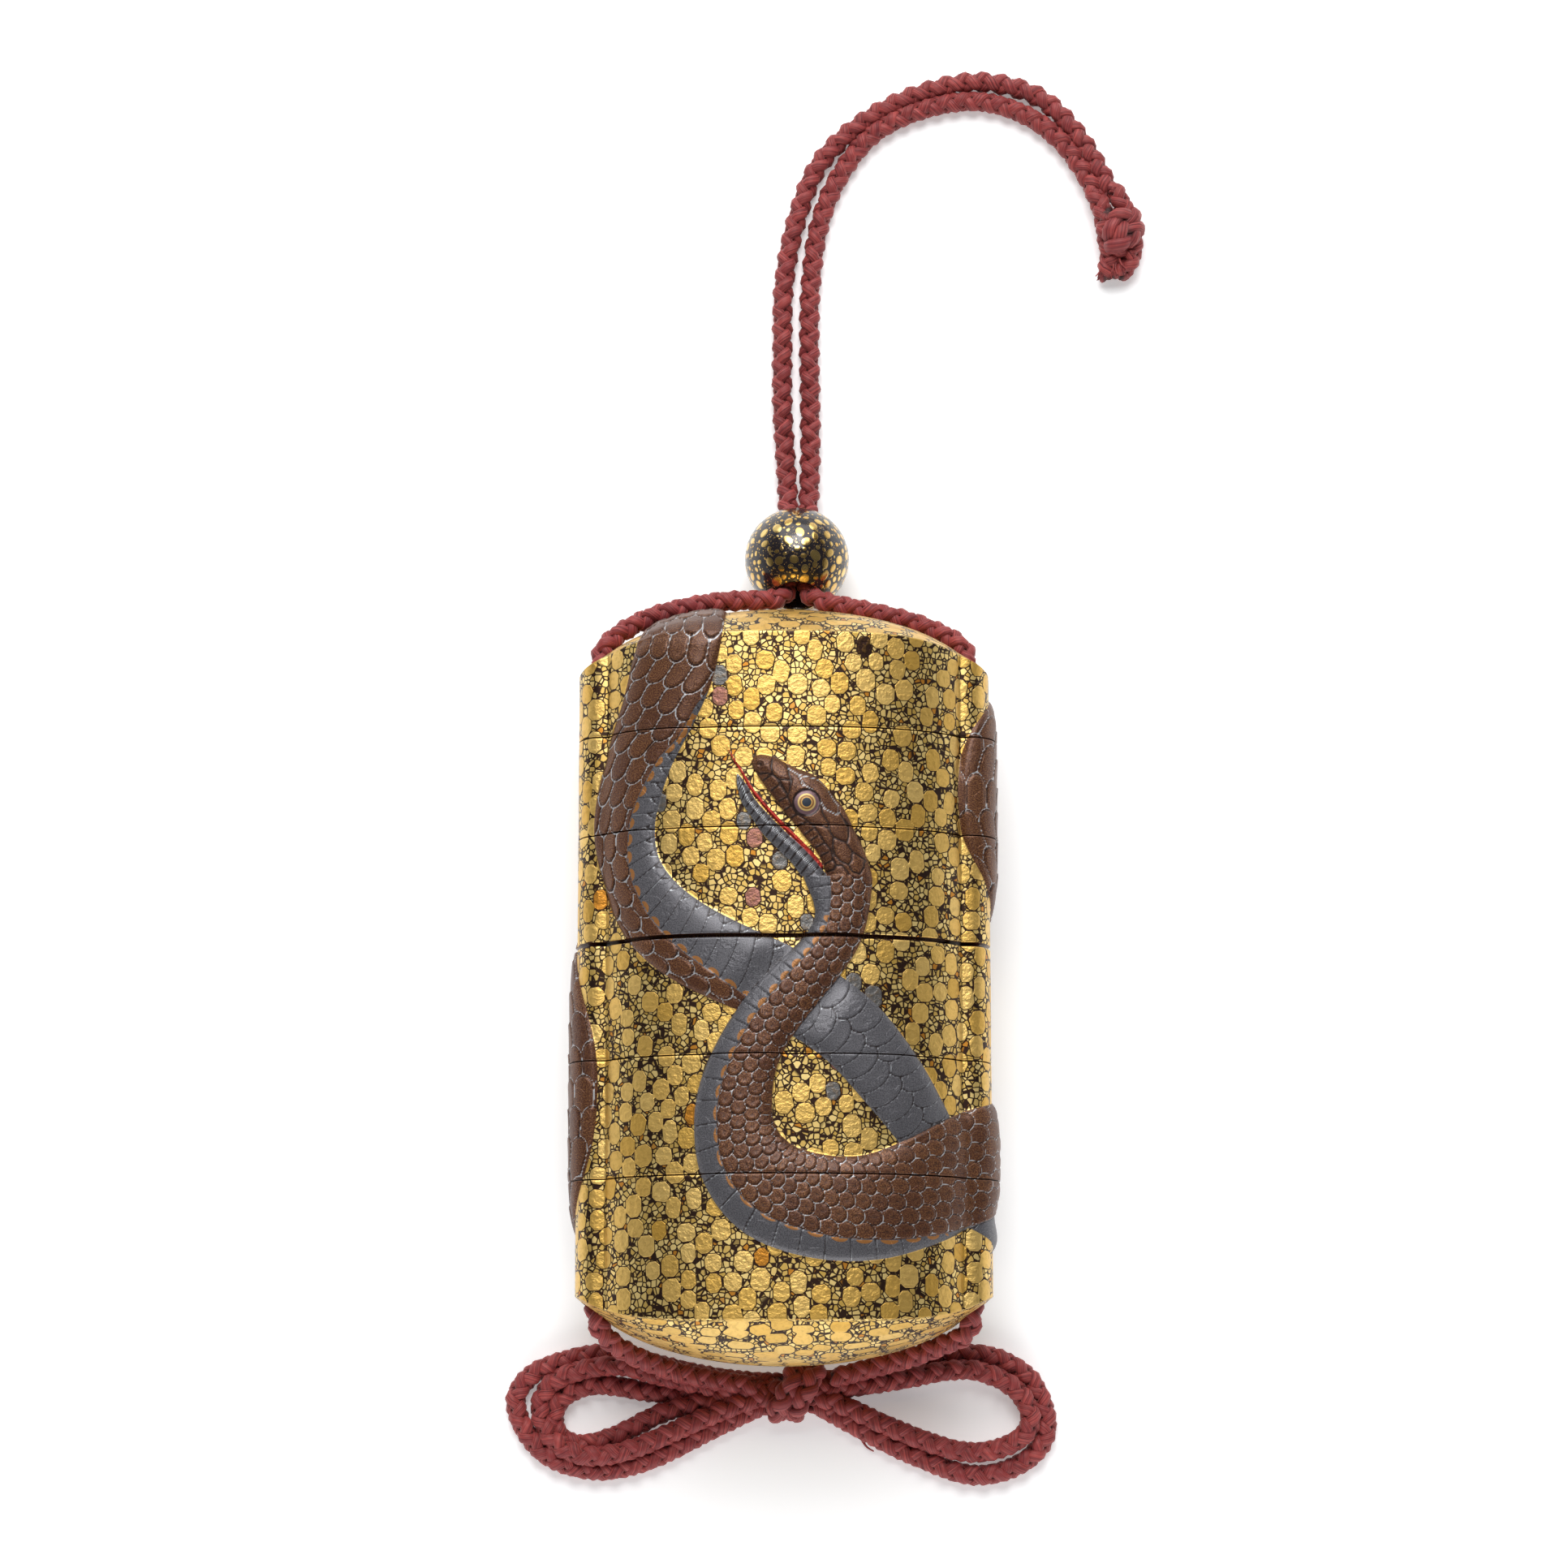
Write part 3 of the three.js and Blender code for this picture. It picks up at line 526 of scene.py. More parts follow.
    # painted shadow: a dark line on the lower length along the upper length's edge, where the upper one lies
    # over it
    out["groove"] = np.where(low & ~top, np.minimum(out["groove"], np.maximum(-edge, 0)), out["groove"])

    # the head, with its mouth open
    near = (s > -8.5) & (s < 12.5) & (y > 8.5) & (y < 28.5)
    hs, hy = s[near], y[near]
    cranium, mandible = within(hs, hy, skull), within(hs, hy, jaw)
    for edge, is_jaw in ((mandible, True), (cranium, False)):
        here = (edge > 0) & (hy > neck_line)
        height = 0.95 * (1 - np.exp(-edge / 0.55)) + 0.10 * gently(edge, 0.6, 2.4)
        if is_jaw:
            groove = off_line(hs, hy, jaw_middle)
            down = (hs + 5.3) * 0.75 + (22.6 - hy) * 0.66
            groove = np.minimum(groove, np.abs(np.mod(down, 1.02) - 0.51))
            by_middle = np.abs(off_line(hs, hy, jaw_middle) - 0.12) * 1.6 + 0.06
            silver = np.minimum(by_middle, np.abs(edge - 0.12) * 1.6 + 0.08)
            height = 0.8 * height - 0.07 * np.exp(-(groove / 0.1) ** 2)
            tint = np.mod(np.sin(np.floor(down / 1.02) * 12.9) * 43.7, 1)
            belly_here = np.full(hs.shape, 2.0)
        else:
            groove = np.full(hs.shape, far)
            for line in head_grooves:
                groove = np.minimum(groove, off_line(hs, hy, line))
            brow = np.minimum.reduce([off_line(hs, hy, line) for line in brow_lines])
            eye = np.hypot(hs - eye_centre[0], hy - eye_centre[1])
            height = height - 0.16 * np.exp(-(groove / 0.13) ** 2) - 0.12 * np.exp(-(brow / 0.13) ** 2)
            height += 0.10 * np.exp(-((hs - 4.6) ** 2 + (hy - 21.0) ** 2) / 2.5)
            ball = np.sqrt(np.clip(1 - (eye / 1.5) ** 2, 0, 1))
            off_eye = gently(eye, 1.3, 1.75)
            height = np.where(eye < 1.75, height * off_eye + (1 - off_eye) * (0.78 + 0.3 * ball), height)
            nose = np.hypot(hs - nostril[0], hy - nostril[1])
            height += 0.06 * np.exp(-((nose - 0.5) / 0.14) ** 2) - 0.35 * np.exp(-(nose / 0.26) ** 2)
            silver = np.abs(brow - 0.10) * 1.5 + 0.07
            tint = np.mod(np.floor(hs * 0.7) * 0.37 + np.floor(hy * 0.6) * 0.61, 1)
            belly_here = np.full(hs.shape, -2.0)
            out["eye"][near] = np.where(here, eye, far)
            out["pit"][near] = np.where(here, np.exp(-(nose / 0.3) ** 2), out["pit"][near])
        for name, value in (("lift", height), ("groove", groove), ("silver", silver), ("tint", tint),
                            ("belly", belly_here), ("moon", np.full(hs.shape, -far))):
            out[name][near] = np.where(here, value, out[name][near])
        below = out["snake"][near]
        out["snake"][near] = np.where(hy > neck_line, np.maximum(below, edge), below)
    flick = flowing(tongue, 0.3)
    lick = np.full(hs.shape, -far)
    for ts, ty, tw in flick:
        lick = np.maximum(lick, tw - np.hypot(hs - ts, hy - ty))
    out["tongue"][near] = np.where(cranium > 0, -far, lick)
    ground = out["snake"][near] < 0
    out["lift"][near] = np.where(ground, 0.16 * gently(lick, -0.05, 0.2), out["lift"][near])
    return out


def shade(red, green, blue):
    # a colour as it looks on a screen, 0 to 255, to the light it stands for
    return tuple((c / 255) ** 2.2 for c in (red, green, blue)) + (1,)


# The gold flakes are eight-sided bits of leaf, laid one by one, often touching.
# A few are of another metal, and one has fallen out.
rng = np.random.default_rng(7)
steel = shade(112, 110, 108)
violet = shade(150, 104, 92)
amber = shade(196, 132, 52)
bare = shade(52, 36, 30)
blank_ground = shade(150, 118, 62)
odd_flakes = [
    (-7.8, 35.8, 1.0, 1.3, steel), (-7.7, 33.2, 1.0, 1.2, violet), (-15.1, 20.6, 0.8, 1.2, steel),
    (-3.5, 15.9, 1.0, 1.2, violet), (-4.8, 18.0, 0.9, 1.1, steel), (-0.5, 13.2, 1.0, 1.1, steel),
    (-3.7, 8.8, 0.95, 1.2, violet), (2.7, 5.8, 0.8, 1.0, steel), (8.3, -1.4, 1.0, 1.2, steel),
    (10.7, -3.0, 1.1, 1.4, steel), (5.8, -14.3, 0.9, 1.1, steel), (-11.0, -17.0, 0.8, 1.3, amber),
    (9.7, 39.3, 0.9, 1.35, bare), (6.3, -10.6, 0.9, 1.2, violet), (-2.6, -33.9, 0.9, 1.1, amber),
    (13.4, -31.6, 0.95, 1.2, amber), (-24.2, 9.6, 0.9, 1.3, amber),
]


against_another = 0.7   # the share of flakes laid against an earlier one
beside = 1.03           # how close they come
recent = 220


def lay_flakes(low_s, high_s, low_y, high_y, wraps, given, tries, wide, tall):
    # rows of girth, height, half width, half height, red, green, blue
    laid = np.zeros((tries + len(given), 7))
    for k, (s, y, across, up, colour) in enumerate(given):
        laid[k] = (s, y, across, up, *colour[:3])
    count = len(given)
    for _ in range(tries):
        across, up = rng.uniform(*wide), rng.uniform(*tall)
        s, y = rng.uniform(low_s, high_s), rng.uniform(low_y, high_y)
        if count and rng.random() < against_another:
            near = laid[rng.integers(max(0, count - recent), count)]
            turn = rng.choice([0.5, -0.5, 0.18, 0.82, -0.18, -0.82]) * math.pi + rng.normal(0, 0.2)
            s = near[0] + math.cos(turn) * (near[2] + across) * beside
            y = near[1] + math.sin(turn) * (near[3] + up) * beside
        warm, deep = rng.random(), rng.random() ** 2
        if not (low_s <= s <= high_s and low_y <= y <= high_y):
            continue
        ds = laid[:count, 0] - s
        if wraps:
            ds = np.mod(ds + 2 * quarter, 4 * quarter) - 2 * quarter
        gap = np.hypot(ds / (laid[:count, 2] + across), (laid[:count, 1] - y) / (laid[:count, 3] + up))
        if count and gap.min() < 1.0:
            continue
        colour = shade(230 - 22 * deep, 194 - 26 * deep - 6 * warm, 118 - 30 * deep - 14 * warm)
        laid[count] = (s, y, across, up, *colour[:3])
        count += 1
    return laid[:count]


def stamp_flakes(s, y, flakes, wraps):
    # how far inside its flake each place of the grid lies, and that flake's colour
    inside = np.full(s.shape, -far)
    colour = np.zeros((*s.shape, 4))
    colour[:] = blank_ground
    first, last = y.min() - 2, y.max() + 2
    for number, (fs, fy, half, up, red, green, blue) in enumerate(flakes):
        if not first < fy < last:
            continue
        ds = s - fs
        if wraps:
            ds = np.mod(ds + 2 * quarter, 4 * quarter) - 2 * quarter
        near = np.nonzero((np.abs(ds) < half + 0.5) & (np.abs(y - fy) < up + 0.5))
        if not len(near[0]):
            continue
        dx, dy = ds[near], y[near] - fy
        local = np.random.default_rng(number + 11)
        lean = local.normal(0, 0.12)
        edge = np.full(dx.shape, far)
        for k in range(8):
            angle = lean + k * math.pi / 4 + local.normal(0, 0.06)
            nx, ny = math.cos(angle), math.sin(angle)
            support = math.hypot(half * nx, up * ny) * local.uniform(0.92, 0.98) * (1 + 0.05 * (k % 2))
            edge = np.minimum(edge, support - dx * nx - dy * ny)
        better = edge > inside[near]
        spots = tuple(axis[better] for axis in near)
        inside[spots] = edge[better]
        colour[spots] = (red, green, blue, 1)
    return inside, colour


wall_flakes = lay_flakes(
    -quarter, 3 * quarter, -42.0, 42.0, True, odd_flakes, 4600, (0.95, 1.25), (1.10, 1.48))
top_flakes, end_flakes = [
    lay_flakes(-quarter, quarter, 0.6, over_dome - 0.6, False, [], 1500, (1.2, 1.8), (0.6, 0.9))
    for _ in range(2)
]

front_columns = 390     # round the front half
front_s = np.linspace(-quarter, quarter, front_columns + 1)
back_s = quarter + (front_s[:-1][::2] + quarter)[1:]
wall_s = np.r_[front_s, back_s]      # once round, the back at half as many columns
wall_x, wall_z = outline(wall_s)
soft_x, soft_z = around(eased, wall_s)
out_x, out_z = around(eased_out, wall_s)


def wall_rows(low, high, low_seam, high_seam):
    # the rows of a wall, and how far each is set in to round the edge at a seam
    span = float(np.max(high) - np.min(low))
    rows = np.linspace(0, 1, max(8, int(round(span / fine_step))) + 1)
    inward = np.zeros(len(rows))
    edge_rows = np.array([0.0, 0.05, 0.12]) / span
    inset = np.array([0.10, 0.03, 0.0])
    edge_end = 0.2 / span
    if low_seam:
        keep = rows > edge_end
        rows, inward = np.r_[edge_rows, rows[keep]], np.r_[inset, inward[keep]]
    if high_seam:
        keep = rows < 1 - edge_end
        rows, inward = np.r_[rows[keep], 1 - edge_rows[::-1]], np.r_[inward[keep], inset[::-1]]
    return rows, inward


def wall_grid(low, high, low_seam, high_seam):
    # places on the side wall: one row of columns per height, raised by the relief
    rows, inward = wall_rows(low, high, low_seam, high_seam)
    y = low[None, :] + (high - low)[None, :] * rows[:, None]
    s = np.broadcast_to(wall_s, y.shape)
    level = y + (ridge_top - ridge(wall_x))[None, :] * gently(np.abs(y), 30.0, 41.0) * np.sign(y)
    marks = relief(s.ravel(), level.ravel())
    marks = {name: value.reshape(y.shape) for name, value in marks.items()}
    marks["flake"], marks["leaf"] = stamp_flakes(s, y, wall_flakes, True)
    snake = gently(marks["snake"], -0.2, 0.9)
    rim = ridge(wall_x)[None, :]
    near_ridge = np.exp(-((rim - np.abs(y)) / 0.9) ** 2)
    leaf_lift = 0.02 * gently(marks["flake"], -0.02, 0.06) * (marks["snake"] < 0)
    lift = marks["lift"] - ridge_ease * near_ridge * snake + leaf_lift
    slope = 2 * rise(wall_x) / np.maximum(half_depth(wall_x), 0.5)
    tilt = np.arctan2(1, slope)[None, :] * 0.5 * gently(np.abs(y), rim - 1.4, rim)
    push_y = np.sin(tilt) * np.sign(y) * lift
    push_out = np.cos(tilt) * lift - inward[:, None]
    x = wall_x + (soft_x - wall_x) * snake + out_x * push_out
    z = wall_z + (soft_z - wall_z) * snake + out_z * push_out
    verts = np.stack([x, y + push_y, np.maximum(middle + z, back_clear)], -1)
    marks["place"] = np.stack([s, y, 0 * y], -1)
    return verts, marks


def dome_grid(end, step):
    # places over the domed end, from the front ridge to the back ridge
    count = int(round(over_dome / step))
    t = np.linspace(0, over_dome, count + 1)
    s = np.broadcast_to(front_s, (len(t), len(front_s)))
    tt = np.broadcast_to(t[:, None], s.shape)
    x, _ = outline(front_s)
    half, top, up = half_depth(x), ridge(x), rise(x)
    across = 1 - 2 * tt / over_dome
    if end > 0:
        marks = relief(s.ravel(), ridge_top + tt.ravel())
        marks = {name: value.reshape(s.shape) for name, value in marks.items()}
    else:
        marks = unmarked(s.shape)
    marks["flake"], marks["leaf"] = stamp_flakes(s, tt, top_flakes if end > 0 else end_flakes, False)
    slope = 2 * up * across / np.maximum(half, 0.5)
    tilt = np.arctan2(1, slope)
    to_ridge = np.minimum(tt, over_dome - tt)
    edge_tilt = np.where(across > 0, tilt * 0.5, math.pi - (math.pi - tilt) * 0.5)
    tilt = edge_tilt + (tilt - edge_tilt) * gently(to_ridge, 0, 1.4)
    snake = gently(marks["snake"], -0.2, 0.9)
    lift = marks["lift"] - ridge_ease * np.exp(-(to_ridge / 0.9) ** 2) * snake
    y = top + up * (1 - across ** 2)
    y = y + np.sin(tilt) * lift
    z = across * half + np.cos(tilt) * lift
    bore = np.hypot(np.abs(x) - mouth_x, across * half)
    y -= np.sqrt(np.clip(mouth_dish ** 2 - bore ** 2, 0, None)) * 0.8 + 3.0 * (1 - gently(bore, 1.15, 1.5))
    verts = np.stack([x + 0 * y, end * y, np.maximum(middle + z, back_clear)], -1)
    marks["place"] = np.stack([s, end * (44 + tt), 0 * tt], -1)
    marks["bore"] = bore
    return verts, marks


class Finish:
    # a node material with short names for the nodes that the finishes here use

    def __init__(self, name):
        self.material = bpy.data.materials.new(name)
        self.material.use_nodes = True
        self.nodes = self.material.node_tree.nodes
        self.links = self.material.node_tree.links
        self.surface = self.nodes["Principled BSDF"]

    def feed(self, socket, value):
        if isinstance(value, bpy.types.NodeSocket):
            self.links.new(value, socket)
        else:
            socket.default_value = value

    def math(self, operation, a, b=0.0, c=0.0, clamp=False):
        node = self.nodes.new("ShaderNodeMath")
        node.operation = operation
        node.use_clamp = clamp
        for socket, value in zip(node.inputs, (a, b, c)):
            self.feed(socket, value)
        return node.outputs[0]

    def ramp(self, value, low, high, to_low=0.0, to_high=1.0):
        node = self.nodes.new("ShaderNodeMapRange")
        node.interpolation_type = "SMOOTHSTEP"
        for socket, given in zip(node.inputs, (value, low, high, to_low, to_high)):
            self.feed(socket, given)
        return node.outputs[0]

    def mix(self, share, a, b, blend="MIX"):
        node = self.nodes.new("ShaderNodeMix")
        node.data_type = "RGBA"
        node.blend_type = blend
        self.feed(node.inputs[0], share)
        self.feed(node.inputs[6], a)
        self.feed(node.inputs[7], b)
        return node.outputs[2]

    def read(self, name, output="Fac"):
        node = self.nodes.new("ShaderNodeAttribute")
        node.attribute_name = name
        return node.outputs[output]

    def stretch(self, vector, scale):
        node = self.nodes.new("ShaderNodeMapping")
        self.feed(node.inputs["Vector"], vector)
        node.inputs["Scale"].default_value = scale
        return node.outputs[0]

    def noise(self, vector, scale, detail=2.0, rough=0.5):
        node = self.nodes.new("ShaderNodeTexNoise")
        self.feed(node.inputs["Vector"], vector)
        node.inputs["Scale"].default_value = scale
        node.inputs["Detail"].default_value = detail
        node.inputs["Roughness"].default_value = rough
        return node.outputs[0]

    def cells(self, vector, scale, feature="F1", loose=1.0):
        node = self.nodes.new("ShaderNodeTexVoronoi")
        node.feature = feature
        self.feed(node.inputs["Vector"], vector)
        node.inputs["Scale"].default_value = scale
        node.inputs["Randomness"].default_value = loose
        return node.outputs

    def bump(self, height, strength, distance, under=None):
        node = self.nodes.new("ShaderNodeBump")
        node.inputs["Strength"].default_value = strength
        node.inputs["Distance"].default_value = distance
        self.feed(node.inputs["Height"], height)
        if under is not None:
            self.feed(node.inputs["Normal"], under)
        return node.outputs[0]

    def wear(self, **values):
        for name, value in values.items():
            self.feed(self.surface.inputs[name.replace("_", " ")], value)
        return self.material


# The finish: flakes and grit of gold in clear lacquer; the snake's back brown with
# silver edges to its scales, its belly grey. Inside, brown lacquer sprinkled with gold.
skin = Finish("gold_flake_lacquer")
place = skin.read("place", "Vector")
speck = skin.noise(place, 6.5, 3.0, 0.6)
crumple = skin.noise(place, 1.5, 3.0, 0.6)
chip_edge = skin.cells(place, 1.45, "DISTANCE_TO_EDGE", 0.78)["Distance"]
chip_pick = skin.nodes.new("ShaderNodeSeparateColor")
skin.feed(chip_pick.inputs[0], skin.cells(place, 1.45, "F1", 0.78)["Color"])
flake = skin.read("flake")
chip_kept = skin.ramp(chip_pick.outputs[0], 0.005, 0.01)
chip_there = skin.math("MULTIPLY", skin.ramp(chip_edge, 0.06, 0.14), chip_kept)
chip_there = skin.math("MULTIPLY", chip_there, skin.ramp(flake, -0.04, -0.12))
chip_gold = skin.mix(chip_pick.outputs[1], shade(206, 168, 86), shade(246, 216, 142))
chip_gold = skin.mix(skin.ramp(chip_pick.outputs[2], 0.955, 0.965), chip_gold, amber)
ground = skin.mix(chip_there, shade(56, 40, 33), chip_gold)
leaf = skin.read("leaf", "Color")
leaf = skin.mix(skin.ramp(crumple, 0.48, 0.62, 0.0, 0.22), leaf, shade(150, 112, 50))
flake_there = skin.ramp(flake, 0.0, 0.06)
ground = skin.mix(flake_there, ground, leaf)

tint = skin.read("tint")
groove = skin.read("groove")
belly = skin.read("belly")
back_brown = skin.mix(skin.ramp(speck, 0.42, 0.64), shade(76, 44, 32), shade(134, 92, 58))
back_brown = skin.mix(skin.math("MULTIPLY", tint, 0.45), back_brown, shade(62, 34, 28))
belly_grey = skin.mix(skin.ramp(speck, 0.35, 0.65), shade(76, 74, 78), shade(104, 103, 107))
is_belly = skin.ramp(belly, -0.04, 0.04)
snake_tone = skin.mix(is_belly, back_brown, belly_grey)
# Dark lines at the edges of scales and plates are the lacquer's own; the same darkening also gives painted
# shade in the head's grooves and a painted shadow on the lower length along the upper one's edge.
snake_tone = skin.mix(skin.ramp(groove, 0.18, 0.06, 0.0, 0.88), snake_tone, shade(38, 27, 25))
snake_tone = skin.mix(skin.math("MULTIPLY", skin.read("pit"), 0.7), snake_tone, shade(40, 28, 26))
silver_line = skin.ramp(skin.read("silver"), 0.19, 0.10)
snake_tone = skin.mix(skin.math("MULTIPLY", silver_line, 0.8), snake_tone, shade(178, 182, 186))
moon = skin.ramp(skin.read("moon"), -0.02, 0.06, 0.0, 0.85)
snake_tone = skin.mix(moon, snake_tone, shade(160, 104, 46))
eye = skin.read("eye")
iris = skin.mix(skin.ramp(eye, 1.38, 1.52), shade(112, 86, 90), shade(46, 30, 28))
for ring_out, ring_in, ring_tone in (
    (1.10, 1.02, shade(196, 166, 102)), (0.90, 0.84, shade(126, 88, 50)),
    (0.70, 0.65, shade(184, 142, 76)), (0.58, 0.52, shade(34, 42, 54)),
):
    iris = skin.mix(skin.ramp(eye, ring_out, ring_in), iris, ring_tone)
snake_tone = skin.mix(skin.ramp(eye, 1.74, 1.66), snake_tone, iris)
snake_there = skin.ramp(skin.read("snake"), -0.03, 0.03)
whole_skin = skin.mix(snake_there, ground, snake_tone)
whole_skin = skin.mix(skin.ramp(skin.read("tongue"), -0.05, 0.05), whole_skin, shade(144, 44, 37))
sheen_of = skin.mix(snake_there, (0.88, 0.88, 0.88, 1), (0.45, 0.45, 0.45, 1))
folds = skin.math("MULTIPLY", crumple, flake_there)
skin.wear(
    Base_Color=whole_skin,
    Metallic=sheen_of,
    Roughness=skin.math("ADD", 0.36, skin.math("MULTIPLY", speck, 0.16)),
    Coat_Weight=0.12,
    Coat_Roughness=0.15,
    Normal=skin.bump(folds, 0.6, 0.0002),
)

sprinkled = Finish("sprinkled_gold_lacquer")
grain = sprinkled.cells(sprinkled.read("place", "Vector"), 5.0)
gold_grain = sprinkled.ramp(grain["Distance"], 0.3, 0.22)
sprinkled.wear(
    Base_Color=sprinkled.mix(gold_grain, shade(96, 50, 30), shade(200, 158, 84)),
    Metallic=0.3,
    Roughness=0.32,
    Coat_Weight=0.4,
    Coat_Roughness=0.1,
)


def oval(half_x, half_z, y):
    # the section of the hollows and risers, at one height
    turn = np.linspace(0, 2 * math.pi, 112, endpoint=False)
    x = half_x * np.sign(np.cos(turn)) * np.abs(np.cos(turn)) ** (2 / lens_power)
    z = half_z * np.sign(np.sin(turn)) * np.abs(np.sin(turn)) ** (2 / lens_power)
    return np.stack([x, np.full(len(turn), y), middle + z], -1)


def channel(side, y):
    turn = np.linspace(0, 2 * math.pi, 28, endpoint=False)
    x = side * channel_x + channel_radius * np.cos(turn)
    return np.stack([x, np.full(len(turn), y), middle + channel_radius * np.sin(turn)], -1)


def strip(index, closed):
    # the four-sided faces between the rows of a grid of vertex numbers
    after = np.roll(index, -1, 1) if closed else index[:, 1:]
    this = index if closed else index[:, :-1]
    return np.stack([this[:-1], after[:-1], after[1:], this[1:]], -1).reshape(-1, 4)


def new_piece(name, verts, faces, marks, finishes):
    # a piece from its mesh, in millimetres, with the marks that its finish reads
    mesh = bpy.data.meshes.new(name)
    mesh.from_pydata((verts * MM).tolist(), [], faces)
    kinds = {1: ("FLOAT", "value"), 3: ("FLOAT_VECTOR", "vector"), 4: ("FLOAT_COLOR", "color")}
    for mark, values in marks.items():
        kind, field = kinds[values.size // len(verts)]
        mesh.attributes.new(mark, kind, "POINT").data.foreach_set(field, values.astype(np.float32).ravel())
    mesh.polygons.foreach_set("use_smooth", [True] * len(mesh.polygons))
    for finish in finishes:
        mesh.materials.append(finish.material)
    piece = bpy.data.objects.new(name, mesh)
    bpy.context.collection.objects.link(piece)
    return piece


class Shell:
    # gathers the sheets of one shell and makes it into a piece

    def __init__(self, name):
        self.name = name
        self.verts, self.places, self.leaves = [], [], []
        self.faces, self.kinds = [], []
        self.marks = {n: [] for n in far_off}
        self.total = 0

    def add(self, points, faces, kind, marks=None):
        points = points.reshape(-1, 3)
        self.verts.append(points)
        for n, away in far_off.items():
            self.marks[n].append(marks[n].ravel() if marks else np.full(len(points), away))
        self.places.append(marks["place"].reshape(-1, 3) if marks else points)
        self.leaves.append(marks["leaf"].reshape(-1, 4) if marks else np.ones((len(points), 4)))
        self.show(faces, kind, self.total)
        self.total += len(points)
        return self.total - len(points)

    def show(self, faces, kind, shift=0):
        for face in faces:
            corners = [v + shift for k, v in enumerate(face) if v != face[k - 1]]
            if len(set(corners)) > 2:
                self.faces.append(corners)
                self.kinds.append(kind)

    def hollow(self, rings, capped):
        # a sleeve through the rings, closed by a flat at the ring named last or first
        index = np.arange(len(rings) * len(rings[0])).reshape(len(rings), -1)
        faces = strip(index, True)[:, ::-1].tolist()
        if capped == "first":
            faces.append(index[0].tolist())
        if capped == "last":
            faces.append(index[-1][::-1].tolist())
        self.add(np.vstack(rings), faces, 1)

    def rim(self, outer, inner, y, up):
        # the flat face at a seam, with the hollow and the two channels cut from it
        loops = [outer, inner, channel(-1, y), channel(1, y)]
        points = np.vstack(loops)
        points[:, 1] = y
        faces = []
        for face in tessellate_polygon([[Vector((p[0], p[2], 0)) for p in loop] for loop in loops]):
            a, b, c = points[list(face)]
            upward = np.cross(b - a, c - a)[1] > 0
            faces.append(list(face) if upward == up else list(face)[::-1])
        self.add(points, faces, 1)

    def finish(self):
        marks = {n: np.concatenate(parts) for n, parts in self.marks.items()}
        marks["place"] = np.vstack(self.places)
        marks["leaf"] = np.vstack(self.leaves)
        piece = new_piece(self.name, np.vstack(self.verts), self.faces, marks, (skin, sprinkled))
        piece.data.polygons.foreach_set("use_smooth", [kind == 0 for kind in self.kinds])
        piece.data.polygons.foreach_set("material_index", self.kinds)
        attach(piece, "root")
        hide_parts(self.name)


def skin_of(shell, low_seam, high_seam):
    # the side wall and, where there is no seam, the domed end that it turns into
    low = -ridge(wall_x) if low_seam is None else np.full(len(wall_s), low_seam)
    high = ridge(wall_x) if high_seam is None else np.full(len(wall_s), high_seam)
    grid, marks = wall_grid(low, high, low_seam is not None, high_seam is not None)
    index = np.arange(grid.shape[0] * grid.shape[1]).reshape(grid.shape[:2])
    shell.add(grid, strip(index, True).tolist(), 0, marks)
    if low_seam is None or high_seam is None:
        end = 1 if high_seam is None else -1
        ridge_row = index[-1 if end > 0 else 0]
        dome, marks = dome_grid(end, lid_dome_step if end > 0 else foot_dome_step)
        own = np.zeros(dome.shape[:2], int)
        own[0] = ridge_row[:front_columns + 1]
        back = np.r_[ridge_row[0], ridge_row[front_columns + 1:][::-1], ridge_row[front_columns]]
        own[-1] = back[np.arange(front_columns + 1) // 2]
        inner = {n: marks[n][1:-1] for n in marks}
        start = shell.add(dome[1:-1], [], 0, inner)
        own[1:-1] = start + np.arange(own[1:-1].size).reshape(own[1:-1].shape)
        clear = np.ones(own.shape, bool)
        clear[1:-1] = inner["bore"] > mouth_edge
        keep = strip(clear, False).all(1)
        faces = strip(own, False)[keep]
        shell.show((faces if end > 0 else faces[:, ::-1]).tolist(), 0)
    return grid[0], grid[-1]


hollow_oval, riser_oval, recess_oval = (19.4, 10.0), (20.2, 10.8), (20.5, 11.1)
riser_high, recess_deep, floor_thick, end_wall = 3.3, 3.8, 1.2, 0.6

lid = Shell("lid")
lid_low = seams[0] + seam_gaps[0] / 2
low_edge, _ = skin_of(lid, lid_low, None)
lid.rim(low_edge, oval(*recess_oval, lid_low), lid_low, False)
lid.hollow([
    oval(*hollow_oval, ridge_top - end_wall), oval(*hollow_oval, seams[0] + recess_deep),
    oval(*recess_oval, seams[0] + recess_deep), oval(*recess_oval, lid_low),
], "first")
for side in (-1, 1):
    lid.hollow([channel(side, channel_end), channel(side, lid_low)], "open")
lid.finish()

for number in range(1, 6):
    case = Shell(f"case_{number}")
    is_bottom = number == 5
    top_seam = seams[number - 1]
    case_high = top_seam - seam_gaps[number - 1] / 2
    case_low = None if is_bottom else seams[number] + seam_gaps[number] / 2
    low_edge, high_edge = skin_of(case, case_low, case_high)
    case.rim(high_edge, oval(*riser_oval, case_high), case_high, True)
    floor = end_wall - ridge_top if is_bottom else seams[number] + recess_deep + floor_thick
    case.hollow([
        oval(*riser_oval, case_high), oval(*riser_oval, top_seam + riser_high),
        oval(*hollow_oval, top_seam + riser_high), oval(*hollow_oval, floor),
    ], "last")
    if not is_bottom:
        case.rim(low_edge, oval(*recess_oval, case_low), case_low, False)
        recess = seams[number] + recess_deep
        case.hollow([oval(*recess_oval, recess), oval(*recess_oval, case_low)], "first")
    for side in (-1, 1):
        foot = -channel_end if is_bottom else case_low
        case.hollow([channel(side, case_high), channel(side, foot)], "open")
    case.finish()


